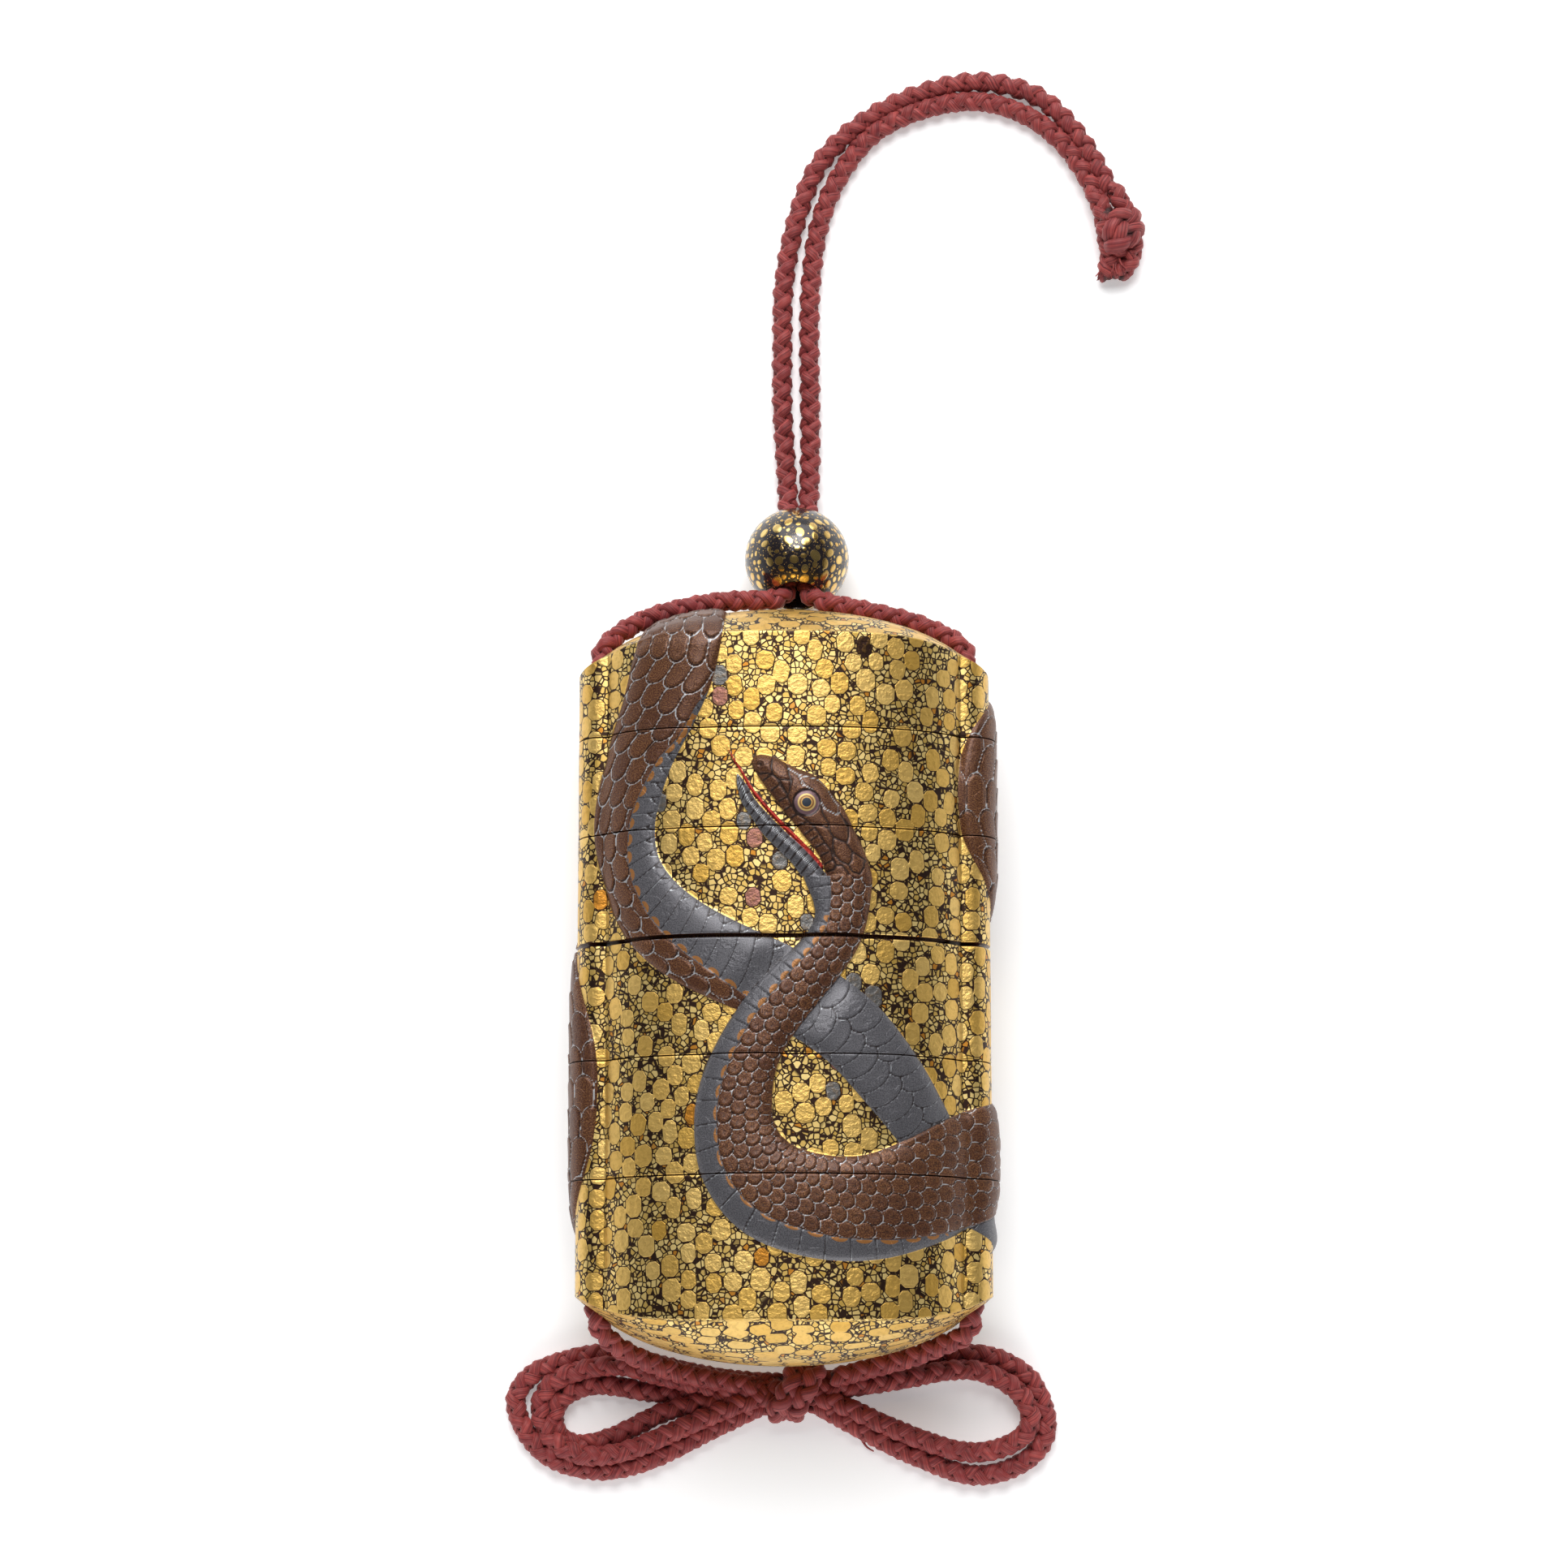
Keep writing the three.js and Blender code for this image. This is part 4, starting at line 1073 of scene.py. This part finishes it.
# ---- The bead -------------------------------------------------------------------
# A turned wooden ball, bored through for the two cords. It is coated in black
# lacquer and set with round gold flakes of three sizes and with gold dust.

bead_radius = 6.45
bead_bore = 2.45
bead_flare = 0.3
bead_centre = np.array([1.6, 54.0, 6.45])
bead_tilt = math.radians(27)
tilt_sin, tilt_cos = math.sin(bead_tilt), math.cos(bead_tilt)
bead_axes = np.array([(1, 0, 0), (0, tilt_sin, tilt_cos), (0, tilt_cos, -tilt_sin)])
bead_rim = math.acos((bead_bore + bead_flare) / bead_radius)
latitude = np.linspace(-bead_rim, bead_rim, 100)
longitude = np.linspace(0, 2 * math.pi, 270, endpoint=False)
ball = bead_radius * np.stack([
    np.cos(latitude)[:, None] * np.cos(longitude), np.cos(latitude)[:, None] * np.sin(longitude),
    np.sin(latitude)[:, None] + 0 * longitude,
], -1)

rng = np.random.default_rng(21)
dots = np.zeros((0, 4))
for how_many, low_size, high_size, clear in (
    (260, 0.50, 0.66, 0.12), (900, 0.24, 0.38, 0.10), (2200, 0.10, 0.17, 0.07),
):
    for _ in range(how_many):
        way = rng.normal(size=3)
        spot = bead_radius * way / np.linalg.norm(way)
        size = rng.uniform(low_size, high_size)
        near = np.linalg.norm(dots[:, :3] - spot, axis=1) - dots[:, 3] - size
        if not len(dots) or near.min() > clear:
            dots = np.vstack([dots, [*spot, size]])
dot_inside = np.full(ball.shape[:2], -far)
dot_colour = np.ones((*ball.shape[:2], 4))
for x, y, z, size in dots:
    spot = np.array([x, y, z])
    one = np.cross(spot, rng.normal(size=3))
    one /= np.linalg.norm(one)
    other = np.cross(spot, one) / bead_radius
    long_half, short_half = size * rng.uniform(1.0, 1.25), size * rng.uniform(0.78, 0.98)
    pale = rng.random()
    from_spot = ball - spot
    near = np.nonzero(np.abs(from_spot).max(-1) < size * 1.3 + 0.3)
    out = np.hypot(from_spot[near] @ one / long_half, from_spot[near] @ other / short_half)
    inside = (1 - out) * math.sqrt(long_half * short_half)
    better = inside > dot_inside[near]
    spots = tuple(axis[better] for axis in near)
    dot_inside[spots] = inside[better]
    dot_colour[spots] = shade(238 - 26 * pale, 204 - 34 * pale, 128 - 34 * pale)
ball *= (1 + 0.03 * gently(dot_inside, 0.0, 0.06) / bead_radius)[..., None]
bead_half = bead_radius * math.sin(bead_rim)
bore_rings = [
    (bead_bore + 0.25, bead_half - 0.35), (bead_bore, bead_half - 1.0),
    (bead_bore, -bead_half + 1.0), (bead_bore + 0.25, -bead_half + 0.35),
]
bore = np.array([
    [(r * math.cos(turn), r * math.sin(turn), height) for turn in longitude] for r, height in bore_rings
])
bead_rows = np.concatenate([ball, bore])
bead_index = np.arange(bead_rows[..., 0].size).reshape(bead_rows.shape[:2])
bead_verts = bead_rows.reshape(-1, 3) @ bead_axes + bead_centre
bead_verts[:, 2] = np.maximum(bead_verts[:, 2], 0.02)   # clear of the table
blank = np.full(bore[..., 0].size, -far)

black_gold = Finish("black_and_gold_lacquer")
bead_place = black_gold.read("place", "Vector")
dust = black_gold.cells(bead_place, 4.2)
dust_pick = black_gold.nodes.new("ShaderNodeSeparateColor")
black_gold.feed(dust_pick.inputs[0], dust["Color"])
dust_clouds = black_gold.ramp(black_gold.noise(bead_place, 0.55, 2.0), 0.42, 0.62)
dust_there = black_gold.math("MULTIPLY", black_gold.ramp(dust["Distance"], 0.30, 0.22), dust_clouds)
dust_there = black_gold.math("MULTIPLY", dust_there, black_gold.ramp(dust_pick.outputs[0], 0.30, 0.35))
dot = black_gold.read("dot")
dust_there = black_gold.math("MULTIPLY", dust_there, black_gold.ramp(dot, -0.03, -0.10))
dot_there = black_gold.ramp(dot, -0.01, 0.04)
rim = black_gold.ramp(black_gold.math("ABSOLUTE", black_gold.math("SUBTRACT", dot, 0.10)), 0.05, 0.01)
dot_leaf = black_gold.read("leaf", "Color")
dot_gold = black_gold.mix(black_gold.math("MULTIPLY", rim, 0.45), dot_leaf, shade(120, 78, 30))
tone = black_gold.mix(dust_there, shade(38, 33, 36), shade(190, 150, 84))
black_gold.wear(
    Base_Color=black_gold.mix(dot_there, tone, dot_gold),
    Metallic=black_gold.ramp(dot, -0.01, 0.04, 0.25, 1.0),
    Roughness=black_gold.ramp(dot, -0.01, 0.04, 0.22, 0.20),
    Coat_Weight=0.5,
    Coat_Roughness=0.08,
)

bead_faces = np.vstack([strip(bead_index, True), strip(bead_index[[-1, 0]], True)])
bead_marks = {
    "dot": np.r_[dot_inside.ravel(), blank],
    "place": bead_rows,
    "leaf": np.vstack([dot_colour.reshape(-1, 4), np.ones((len(blank), 4))]),
}
bead = new_piece("ojime_bead", bead_verts, bead_faces.tolist(), bead_marks, [black_gold])
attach(bead, "root")
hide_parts("ojime_bead")


# ---- The cord -------------------------------------------------------------------
# One silk cord of four plump strands, braided round, in dark madder red. Both its
# halves run from the bow up a channel, over the lid and through the bead to the
# end knot, where they are tied together and cut.

cord_width = 2.2
braid_pitch = 4.7       # one full turn of a strand
strand_swing = 0.29     # how far a strand dives under its neighbours
strand_centre = 0.62
strand_thick = 0.54
strand_wide = 0.73
strand_sides = 10
cord_step = 0.36        # between the rings of a strand
on_table = 0.02         # the lowest that silk may lie


def carried_frames(line):
    # a side and an up for each point, carried along without twist
    way = np.gradient(line, axis=0)
    way /= np.linalg.norm(way, axis=1)[:, None]
    side = np.zeros_like(line)
    first = np.cross(way[0], (0, 0, 1))
    side[0] = first / np.linalg.norm(first)
    for k in range(1, len(line)):
        turned = side[k - 1] - way[k] * np.dot(side[k - 1], way[k])
        side[k] = turned / np.linalg.norm(turned)
    return way, side, np.cross(way, side)


def braid(line, start=0.0, width=cord_width):
    # the four strands as swept ovals; also their fibre coordinates
    scale = width / cord_width
    _, side, up = carried_frames(line)
    gone = np.r_[0, np.cumsum(np.linalg.norm(np.diff(line, axis=0), axis=1))] + start
    turn = 2 * math.pi * gone / (braid_pitch * scale)
    verts, faces, fibres, outs = [], [], [], []
    about_strand = np.arange(strand_sides) / strand_sides * 2 * math.pi
    for strand in range(4):
        hand = 1 if strand % 2 == 0 else -1
        angle = hand * turn + (strand // 2) * math.pi + (0 if hand == 1 else math.pi / 2)
        dive = hand * np.sin(2 * turn)
        radius = (strand_centre + strand_swing * dive) * scale
        out = np.cos(angle)[:, None] * side + np.sin(angle)[:, None] * up
        centre = line + out * radius[:, None]
        run = np.gradient(centre, axis=0)
        run /= np.linalg.norm(run, axis=1)[:, None]
        flat = np.cross(run, out)
        flat /= np.linalg.norm(flat, axis=1)[:, None]
        proud = np.cross(flat, run)
        ring = (
            centre[:, None, :]
            + flat[:, None, :] * np.cos(about_strand)[None, :, None] * (strand_wide * scale)
            + proud[:, None, :] * np.sin(about_strand)[None, :, None] * (strand_thick * scale)
        )
        first = sum(len(v) for v in verts)
        verts.append(ring.reshape(-1, 3))
        # how far each point lies from the cord's axis: the silk gets painted shade where this is small
        outs.append((np.linalg.norm(ring - line[:, None], axis=-1) / scale).ravel())
        n, m = len(line), strand_sides
        grid = first + np.arange(n * m).reshape(n, m)
        here, there = grid[:-1], grid[1:]
        faces.append(np.stack([here, np.roll(here, -1, 1), np.roll(there, -1, 1), there], -1).reshape(-1, 4))
        along = np.repeat(gone[:, None], m, 1)
        about = np.repeat((about_strand / (2 * math.pi))[None, :], n, 0)
        fibres.append(np.stack([along, about + strand * 7.3, 0 * along + strand], -1).reshape(-1, 3))
    caps = []
    for strand in range(4):
        first = strand * len(line) * strand_sides
        last = first + (len(line) - 1) * strand_sides
        caps.append([first + k for k in range(strand_sides)][::-1])
        caps.append([last + k for k in range(strand_sides)])
    verts = np.vstack(verts)
    verts[:, 2] = np.maximum(verts[:, 2], on_table)
    return verts, np.vstack(faces), caps, np.vstack(fibres), np.concatenate(outs)


def put_braids(name, braids):
    # one object from several braids, in millimetres
    verts, faces, fibres, outs, first = [], [], [], [], 0
    for v, f, caps, fibre, out in braids:
        verts.append(v)
        faces += (f + first).tolist()
        faces += [[first + k for k in cap] for cap in caps]
        fibres.append(fibre)
        outs.append(out)
        first += len(v)
    marks = {"fibre": np.vstack(fibres), "out": np.concatenate(outs)}
    made = new_piece(name, np.vstack(verts), faces, marks, [silk_dye])
    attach(made, "root")
    return made


silk_dye = Finish("madder_silk")
fibre = silk_dye.read("fibre", "Vector")
thread = silk_dye.noise(silk_dye.stretch(fibre, (0.30, 26.0, 3.1)), 1.0, 3.0, 0.6)
fine_thread = silk_dye.noise(silk_dye.stretch(fibre, (0.8, 70.0, 3.1)), 1.0, 2.0, 0.6)
patch = silk_dye.noise(silk_dye.stretch(fibre, (0.35, 1.2, 5.3)), 1.0, 2.0)
dye_and_crease_shade = silk_dye.mix(silk_dye.ramp(thread, 0.30, 0.72), shade(96, 34, 38), shade(176, 78, 74))
dye_and_crease_shade = silk_dye.mix(silk_dye.ramp(fine_thread, 0.62, 0.80, 0.0, 0.55), dye_and_crease_shade, shade(206, 112, 104))
dye_and_crease_shade = silk_dye.mix(silk_dye.ramp(patch, 0.45, 0.75, 0.0, 0.35), dye_and_crease_shade, shade(120, 40, 48))
# painted shade: the silk is darkened where a strand lies deep between its neighbours, close to the cord's
# axis
dye_and_crease_shade = silk_dye.mix(silk_dye.ramp(silk_dye.read("out"), 1.10, 0.68), dye_and_crease_shade, shade(52, 18, 20))
threads = silk_dye.math("ADD", thread, silk_dye.math("MULTIPLY", fine_thread, 0.5))
silk_dye.wear(
    Base_Color=dye_and_crease_shade,
    Roughness=silk_dye.ramp(thread, 0.2, 0.8, 0.62, 0.46),
    Normal=silk_dye.bump(threads, 0.55, 0.00012),
    Specular_IOR_Level=0.35,
    Sheen_Weight=0.35,
    Sheen_Roughness=0.4,
    Sheen_Tint=(0.95, 0.55, 0.52, 1),
)

left_route = [
    (-3.4, -47.9, 3.1), (-8.0, -47.2, 3.5), (-12.8, -46.3, 4.7), (-16.2, -45.2, 6.8),
    (-19.3, -43.9, 9.4), (-21.4, -42.3, 11.6), (-22.4, -40.4, 12.6), (-22.5, -37.0, 12.6),
    (-22.5, 37.0, 12.6), (-22.5, 39.6, 12.6), (-22.0, 41.5, 12.5), (-20.6, 43.1, 11.9),
    (-18.4, 44.7, 11.3), (-15.6, 46.0, 10.9), (-12.4, 46.9, 10.7), (-8.9, 47.6, 10.6),
    (-5.2, 47.9, 10.6), (-2.2, 48.0, 10.4), (-0.3, 48.5, 9.7), (0.3, 49.9, 8.6),
    (0.4, 54.0, 6.45), (0.4, 59.0, 3.9), (0.5, 62.6, 2.0), (0.2, 68.0, 1.2),
    (-0.2, 75.0, 1.15), (-0.2, 83.0, 1.15), (0.0, 91.0, 1.15), (1.6, 99.5, 1.15),
    (4.6, 107.0, 1.15), (10.2, 112.5, 1.15), (17.3, 116.2, 1.15), (25.2, 117.8, 1.15),
    (32.5, 115.8, 1.2), (37.0, 111.2, 1.6), (39.9, 106.3, 2.0), (41.7, 102.3, 2.4),
]
right_route = [
    (6.1, -46.9, 3.2), (11.2, -45.6, 4.5), (15.6, -44.5, 6.3), (19.2, -43.2, 8.8),
    (21.5, -42.3, 11.2), (22.5, -40.5, 12.3), (22.5, -37.0, 12.6), (22.5, 37.0, 12.6),
    (22.5, 39.5, 12.6), (22.0, 41.3, 12.5), (20.6, 42.7, 12.0), (18.4, 43.9, 11.5),
    (15.5, 45.1, 11.2), (12.2, 46.0, 11.0), (8.8, 46.8, 10.9), (5.7, 47.5, 10.7),
    (3.6, 48.5, 9.8), (2.9, 49.9, 8.6), (2.8, 54.0, 6.45), (2.8, 59.0, 3.9),
    (3.1, 62.6, 2.0), (3.3, 68.0, 1.2), (3.3, 75.0, 1.15), (3.2, 83.0, 1.15),
    (3.4, 91.0, 1.15), (4.5, 98.8, 1.15), (6.9, 105.0, 1.15), (11.4, 110.9, 1.15),
    (17.9, 114.2, 1.15), (25.0, 115.2, 1.15), (31.2, 113.2, 1.2), (35.5, 109.6, 1.5),
    (38.2, 105.6, 1.8), (39.9, 102.0, 2.2),
]


def laid_cord(name, node, route, start):
    line = flowing(route, cord_step)
    piece = put_braids(name, [braid(line, start)])
    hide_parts(node)


laid_cord("left_cord", "cord_left", left_route, 0.0)
laid_cord("right_cord", "cord_right", right_route, 1.6)

# ---- The end knot ---------------------------------------------------------------
# Both cords are tied in one overhand knot, whose turns cover each other, and are
# cut off just below it. The cut ends have come apart into threads.

knot_side = np.array([0.908, 0.42, 0.0])    # across the two cords
knot_width = 2.9        # the turns are spread by what they cover
thread_sides = 5
thread_step = 0.12


def turns_round(start, end, wide, high, turns, first):
    # a winding round the straight from start to end, as wide and high as given
    share = np.linspace(0, 1, int(14 * turns))
    angle = first + 2 * math.pi * turns * share
    centre = np.array(start) + share[:, None] * (np.array(end) - np.array(start))
    return centre + np.outer(wide * np.cos(angle), knot_side) + np.outer(high * np.sin(angle), (0, 0, 1))


def loose_thread(points, radius, number):
    # one thin round thread that narrows towards its end
    line = flowing(points, thread_step)
    _, side, up = carried_frames(line)
    size = radius * np.linspace(1, 0.35, len(line))[:, None, None]
    turn = np.linspace(0, 2 * math.pi, thread_sides, endpoint=False)[None, :, None]
    ring = line[:, None] + size * (np.cos(turn) * side[:, None] + np.sin(turn) * up[:, None])
    index = np.arange(len(line) * thread_sides).reshape(len(line), thread_sides)
    along = np.repeat(np.arange(len(line))[:, None] * thread_step, thread_sides, 1)
    fibre = np.stack([along, 0 * along + number * 0.37, 0 * along + number], -1).reshape(-1, 3)
    caps = [index[0][::-1].tolist(), index[-1].tolist()]
    # far enough from the axis that a loose thread gets no painted shade
    return ring.reshape(-1, 3), strip(index, True), caps, fibre, np.full(len(fibre), 1.2)


knot_turns = turns_round((42.0, 99.9, 2.55), (43.3, 95.3, 2.55), 1.35, 1.15, 2.6, 2.2)
knot_tie = [
    (39.3, 102.9, 2.1), (40.2, 100.9, 2.5), (40.6, 98.8, 2.6), (41.0, 96.3, 2.3), (41.3, 94.6, 2.0),
    (41.0, 93.0, 1.7), (41.2, 91.9, 1.5),
]
knot_under = [
    (41.8, 103.2, 2.3), (42.8, 101.4, 2.6), (43.6, 99.4, 2.2), (44.3, 97.0, 1.9), (44.2, 94.9, 1.8),
    (43.5, 93.3, 1.7), (42.6, 92.2, 1.5),
]
rng = np.random.default_rng(5)
end_threads = []
for x, y, z in ((41.1, 92.4, 1.6), (42.9, 92.7, 1.6), (42.0, 93.0, 2.4)):
    for k in range(22):
        fan = rng.uniform(-1, 1)
        lift = rng.uniform(-0.9, 0.9)
        foot = np.array([x + 0.75 * fan, y + rng.uniform(0.4, 1.0), max(0.35, z + 0.6 * lift)])
        knee = foot + (0.3 * fan + rng.normal(0, 0.12), -rng.uniform(0.4, 0.9), 0.25 * lift)
        tip = knee + (
            0.25 * fan + rng.normal(0, 0.22), -rng.uniform(0.3, 0.9), 0.2 * lift + rng.normal(0, 0.1),
        )
        tip[1] = max(tip[1], 91.25)
        knee[2], tip[2] = max(knee[2], 0.3), max(tip[2], 0.3)
        end_threads.append(loose_thread([foot, knee, tip], 0.17, k))
end_knot = put_braids("end_knot", [
    braid(flowing(knot_turns, cord_step), 0.0, knot_width),
    braid(flowing(knot_tie, cord_step), 0.9),
    braid(flowing(knot_under, cord_step), 2.1),
    *end_threads,
])
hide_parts("end_knot")


# ---- The bow knot ---------------------------------------------------------------
# The loops are tied in the middle by two turns of the same cord, which slant over
# the bundle side by side, are pulled tight and end beneath it.

bow_turns = [
    (1.8, -47.0, 1.3), (1.6, -46.2, 2.0), (1.4, -46.0, 3.4), (1.2, -46.7, 4.7), (0.6, -48.2, 5.2),
    (-0.2, -49.8, 4.6), (-0.9, -50.8, 3.2), (-0.6, -50.9, 1.9), (0.8, -49.8, 1.3), (2.6, -47.8, 1.3),
    (3.8, -46.4, 2.0), (3.9, -46.0, 3.3), (3.5, -46.8, 4.6), (2.8, -48.2, 5.1), (2.0, -49.7, 4.6),
    (1.3, -50.8, 3.2), (1.3, -50.9, 2.0), (1.8, -50.0, 1.4), (2.2, -48.8, 1.3),
]
bow_knot = put_braids("bow_knot", [braid(flowing(bow_turns, 0.3), 0.4, 2.3)])
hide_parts("bow_knot")


# ---- The bow's loops ------------------------------------------------------------
# The rest of the cord is laid up in five loops, three to the left and two to the
# right. They lie flat, cover each other in part, and one thread has worked loose.

outer_left = [
    (-0.5, -47.4, 1.6), (-4.5, -47.2, 1.4), (-9.0, -46.6, 1.25), (-13.6, -45.6, 1.2), (-17.5, -44.6, 1.2),
    (-20.9, -43.9, 1.2), (-23.6, -44.0, 1.2), (-25.9, -44.5, 1.2), (-28.2, -45.2, 1.2), (-30.4, -46.2, 1.2),
    (-31.9, -47.7, 1.2), (-32.6, -49.3, 1.2), (-32.4, -50.9, 1.2), (-31.7, -52.6, 1.2), (-30.6, -54.3, 1.2),
    (-29.0, -55.9, 1.2), (-26.4, -57.2, 1.2), (-22.6, -57.9, 1.2), (-19.6, -57.6, 1.2), (-16.5, -56.7, 1.2),
    (-13.5, -55.4, 1.2), (-10.0, -53.6, 1.3), (-6.5, -51.9, 1.5), (-3.2, -50.4, 1.8), (-0.5, -49.4, 2.0),
]
middle_left = [
    (-0.5, -48.3, 2.6), (-4.5, -48.3, 2.5), (-9.0, -47.9, 2.4), (-13.2, -47.0, 2.5), (-16.5, -46.2, 2.6),
    (-19.6, -45.4, 2.7), (-22.4, -45.5, 2.6), (-24.9, -46.0, 2.4), (-27.1, -46.8, 2.0), (-28.6, -47.9, 1.6),
    (-29.4, -49.3, 1.4), (-29.6, -50.9, 1.4), (-29.2, -52.3, 1.5), (-28.3, -53.9, 1.8), (-26.7, -55.3, 2.2),
    (-24.2, -56.2, 2.6), (-21.2, -56.1, 2.7), (-18.4, -55.4, 2.7), (-15.4, -54.2, 2.6), (-12.0, -52.7, 2.6),
    (-8.5, -51.2, 2.6), (-5.0, -49.9, 2.7), (-0.5, -48.8, 2.8),
]
inner_left = [
    (-0.5, -48.0, 1.3), (-5.0, -48.7, 1.3), (-9.5, -48.9, 1.25), (-13.4, -48.7, 1.2), (-16.9, -48.4, 1.2),
    (-19.6, -47.9, 1.2), (-22.7, -47.6, 1.2), (-25.3, -48.2, 1.2), (-27.1, -49.4, 1.2), (-27.9, -51.0, 1.2),
    (-27.8, -52.7, 1.2), (-26.7, -54.2, 1.2), (-24.8, -54.8, 1.3), (-22.2, -54.4, 1.5), (-19.8, -53.5, 1.6),
    (-17.6, -52.4, 1.7), (-15.2, -51.2, 1.8), (-12.4, -50.3, 1.9), (-9.0, -49.6, 2.0), (-5.0, -49.0, 2.2),
    (-0.5, -48.5, 2.3),
]
outer_right = [
    (3.5, -47.4, 1.6), (7.5, -46.7, 1.4), (11.5, -45.6, 1.3), (16.0, -44.5, 1.25), (20.2, -43.9, 1.2),
    (24.2, -44.0, 1.2), (26.4, -44.6, 1.2), (28.3, -45.6, 1.2), (29.9, -46.9, 1.2), (30.9, -48.6, 1.2),
    (31.6, -50.4, 1.2), (31.9, -52.6, 1.2), (31.4, -54.5, 1.2), (30.0, -56.2, 1.2), (28.5, -57.2, 1.2),
    (26.3, -58.1, 1.2), (23.5, -58.5, 1.2), (21.3, -58.2, 1.2), (19.2, -57.5, 1.2), (17.0, -56.6, 1.2),
    (14.8, -55.7, 1.25), (12.7, -54.7, 1.3), (9.8, -53.2, 1.4), (6.9, -51.6, 1.6), (3.5, -49.8, 2.0),
]
inner_right = [
    (3.5, -48.2, 2.4), (7.5, -48.0, 2.3), (11.2, -47.5, 2.4), (14.9, -46.9, 2.5), (19.6, -46.0, 2.6),
    (22.8, -45.9, 2.6), (25.1, -46.5, 2.5), (27.0, -47.4, 2.3), (28.6, -48.7, 2.2), (29.5, -50.2, 2.3),
    (29.9, -51.9, 2.4), (29.3, -53.4, 2.4), (27.6, -54.7, 2.3), (25.4, -55.5, 2.2), (23.0, -55.8, 2.2),
    (20.6, -55.5, 2.3), (18.2, -54.8, 2.4), (15.4, -53.8, 2.5), (13.2, -52.9, 2.5), (10.9, -51.9, 2.5),
    (7.5, -50.3, 2.5), (3.5, -49.0, 2.6),
]
for name, node, route, start in (
    ("outer_left_loop", "bow_loops_left", outer_left, 0.0),
    ("middle_left_loop", "bow_loops_left", middle_left, 1.3),
    ("inner_left_loop", "bow_loops_left", inner_left, 2.2),
    ("outer_right_loop", "bow_loops_right", outer_right, 0.8),
    ("inner_right_loop", "bow_loops_right", inner_right, 1.9),
):
    laid_cord(name, node, route, start)

stray = loose_thread([(9.2, -53.0, 1.2), (9.5, -54.2, 0.8), (10.1, -55.1, 0.6), (10.9, -55.6, 0.45)], 0.26, 3)
put_braids("stray_thread", [stray])
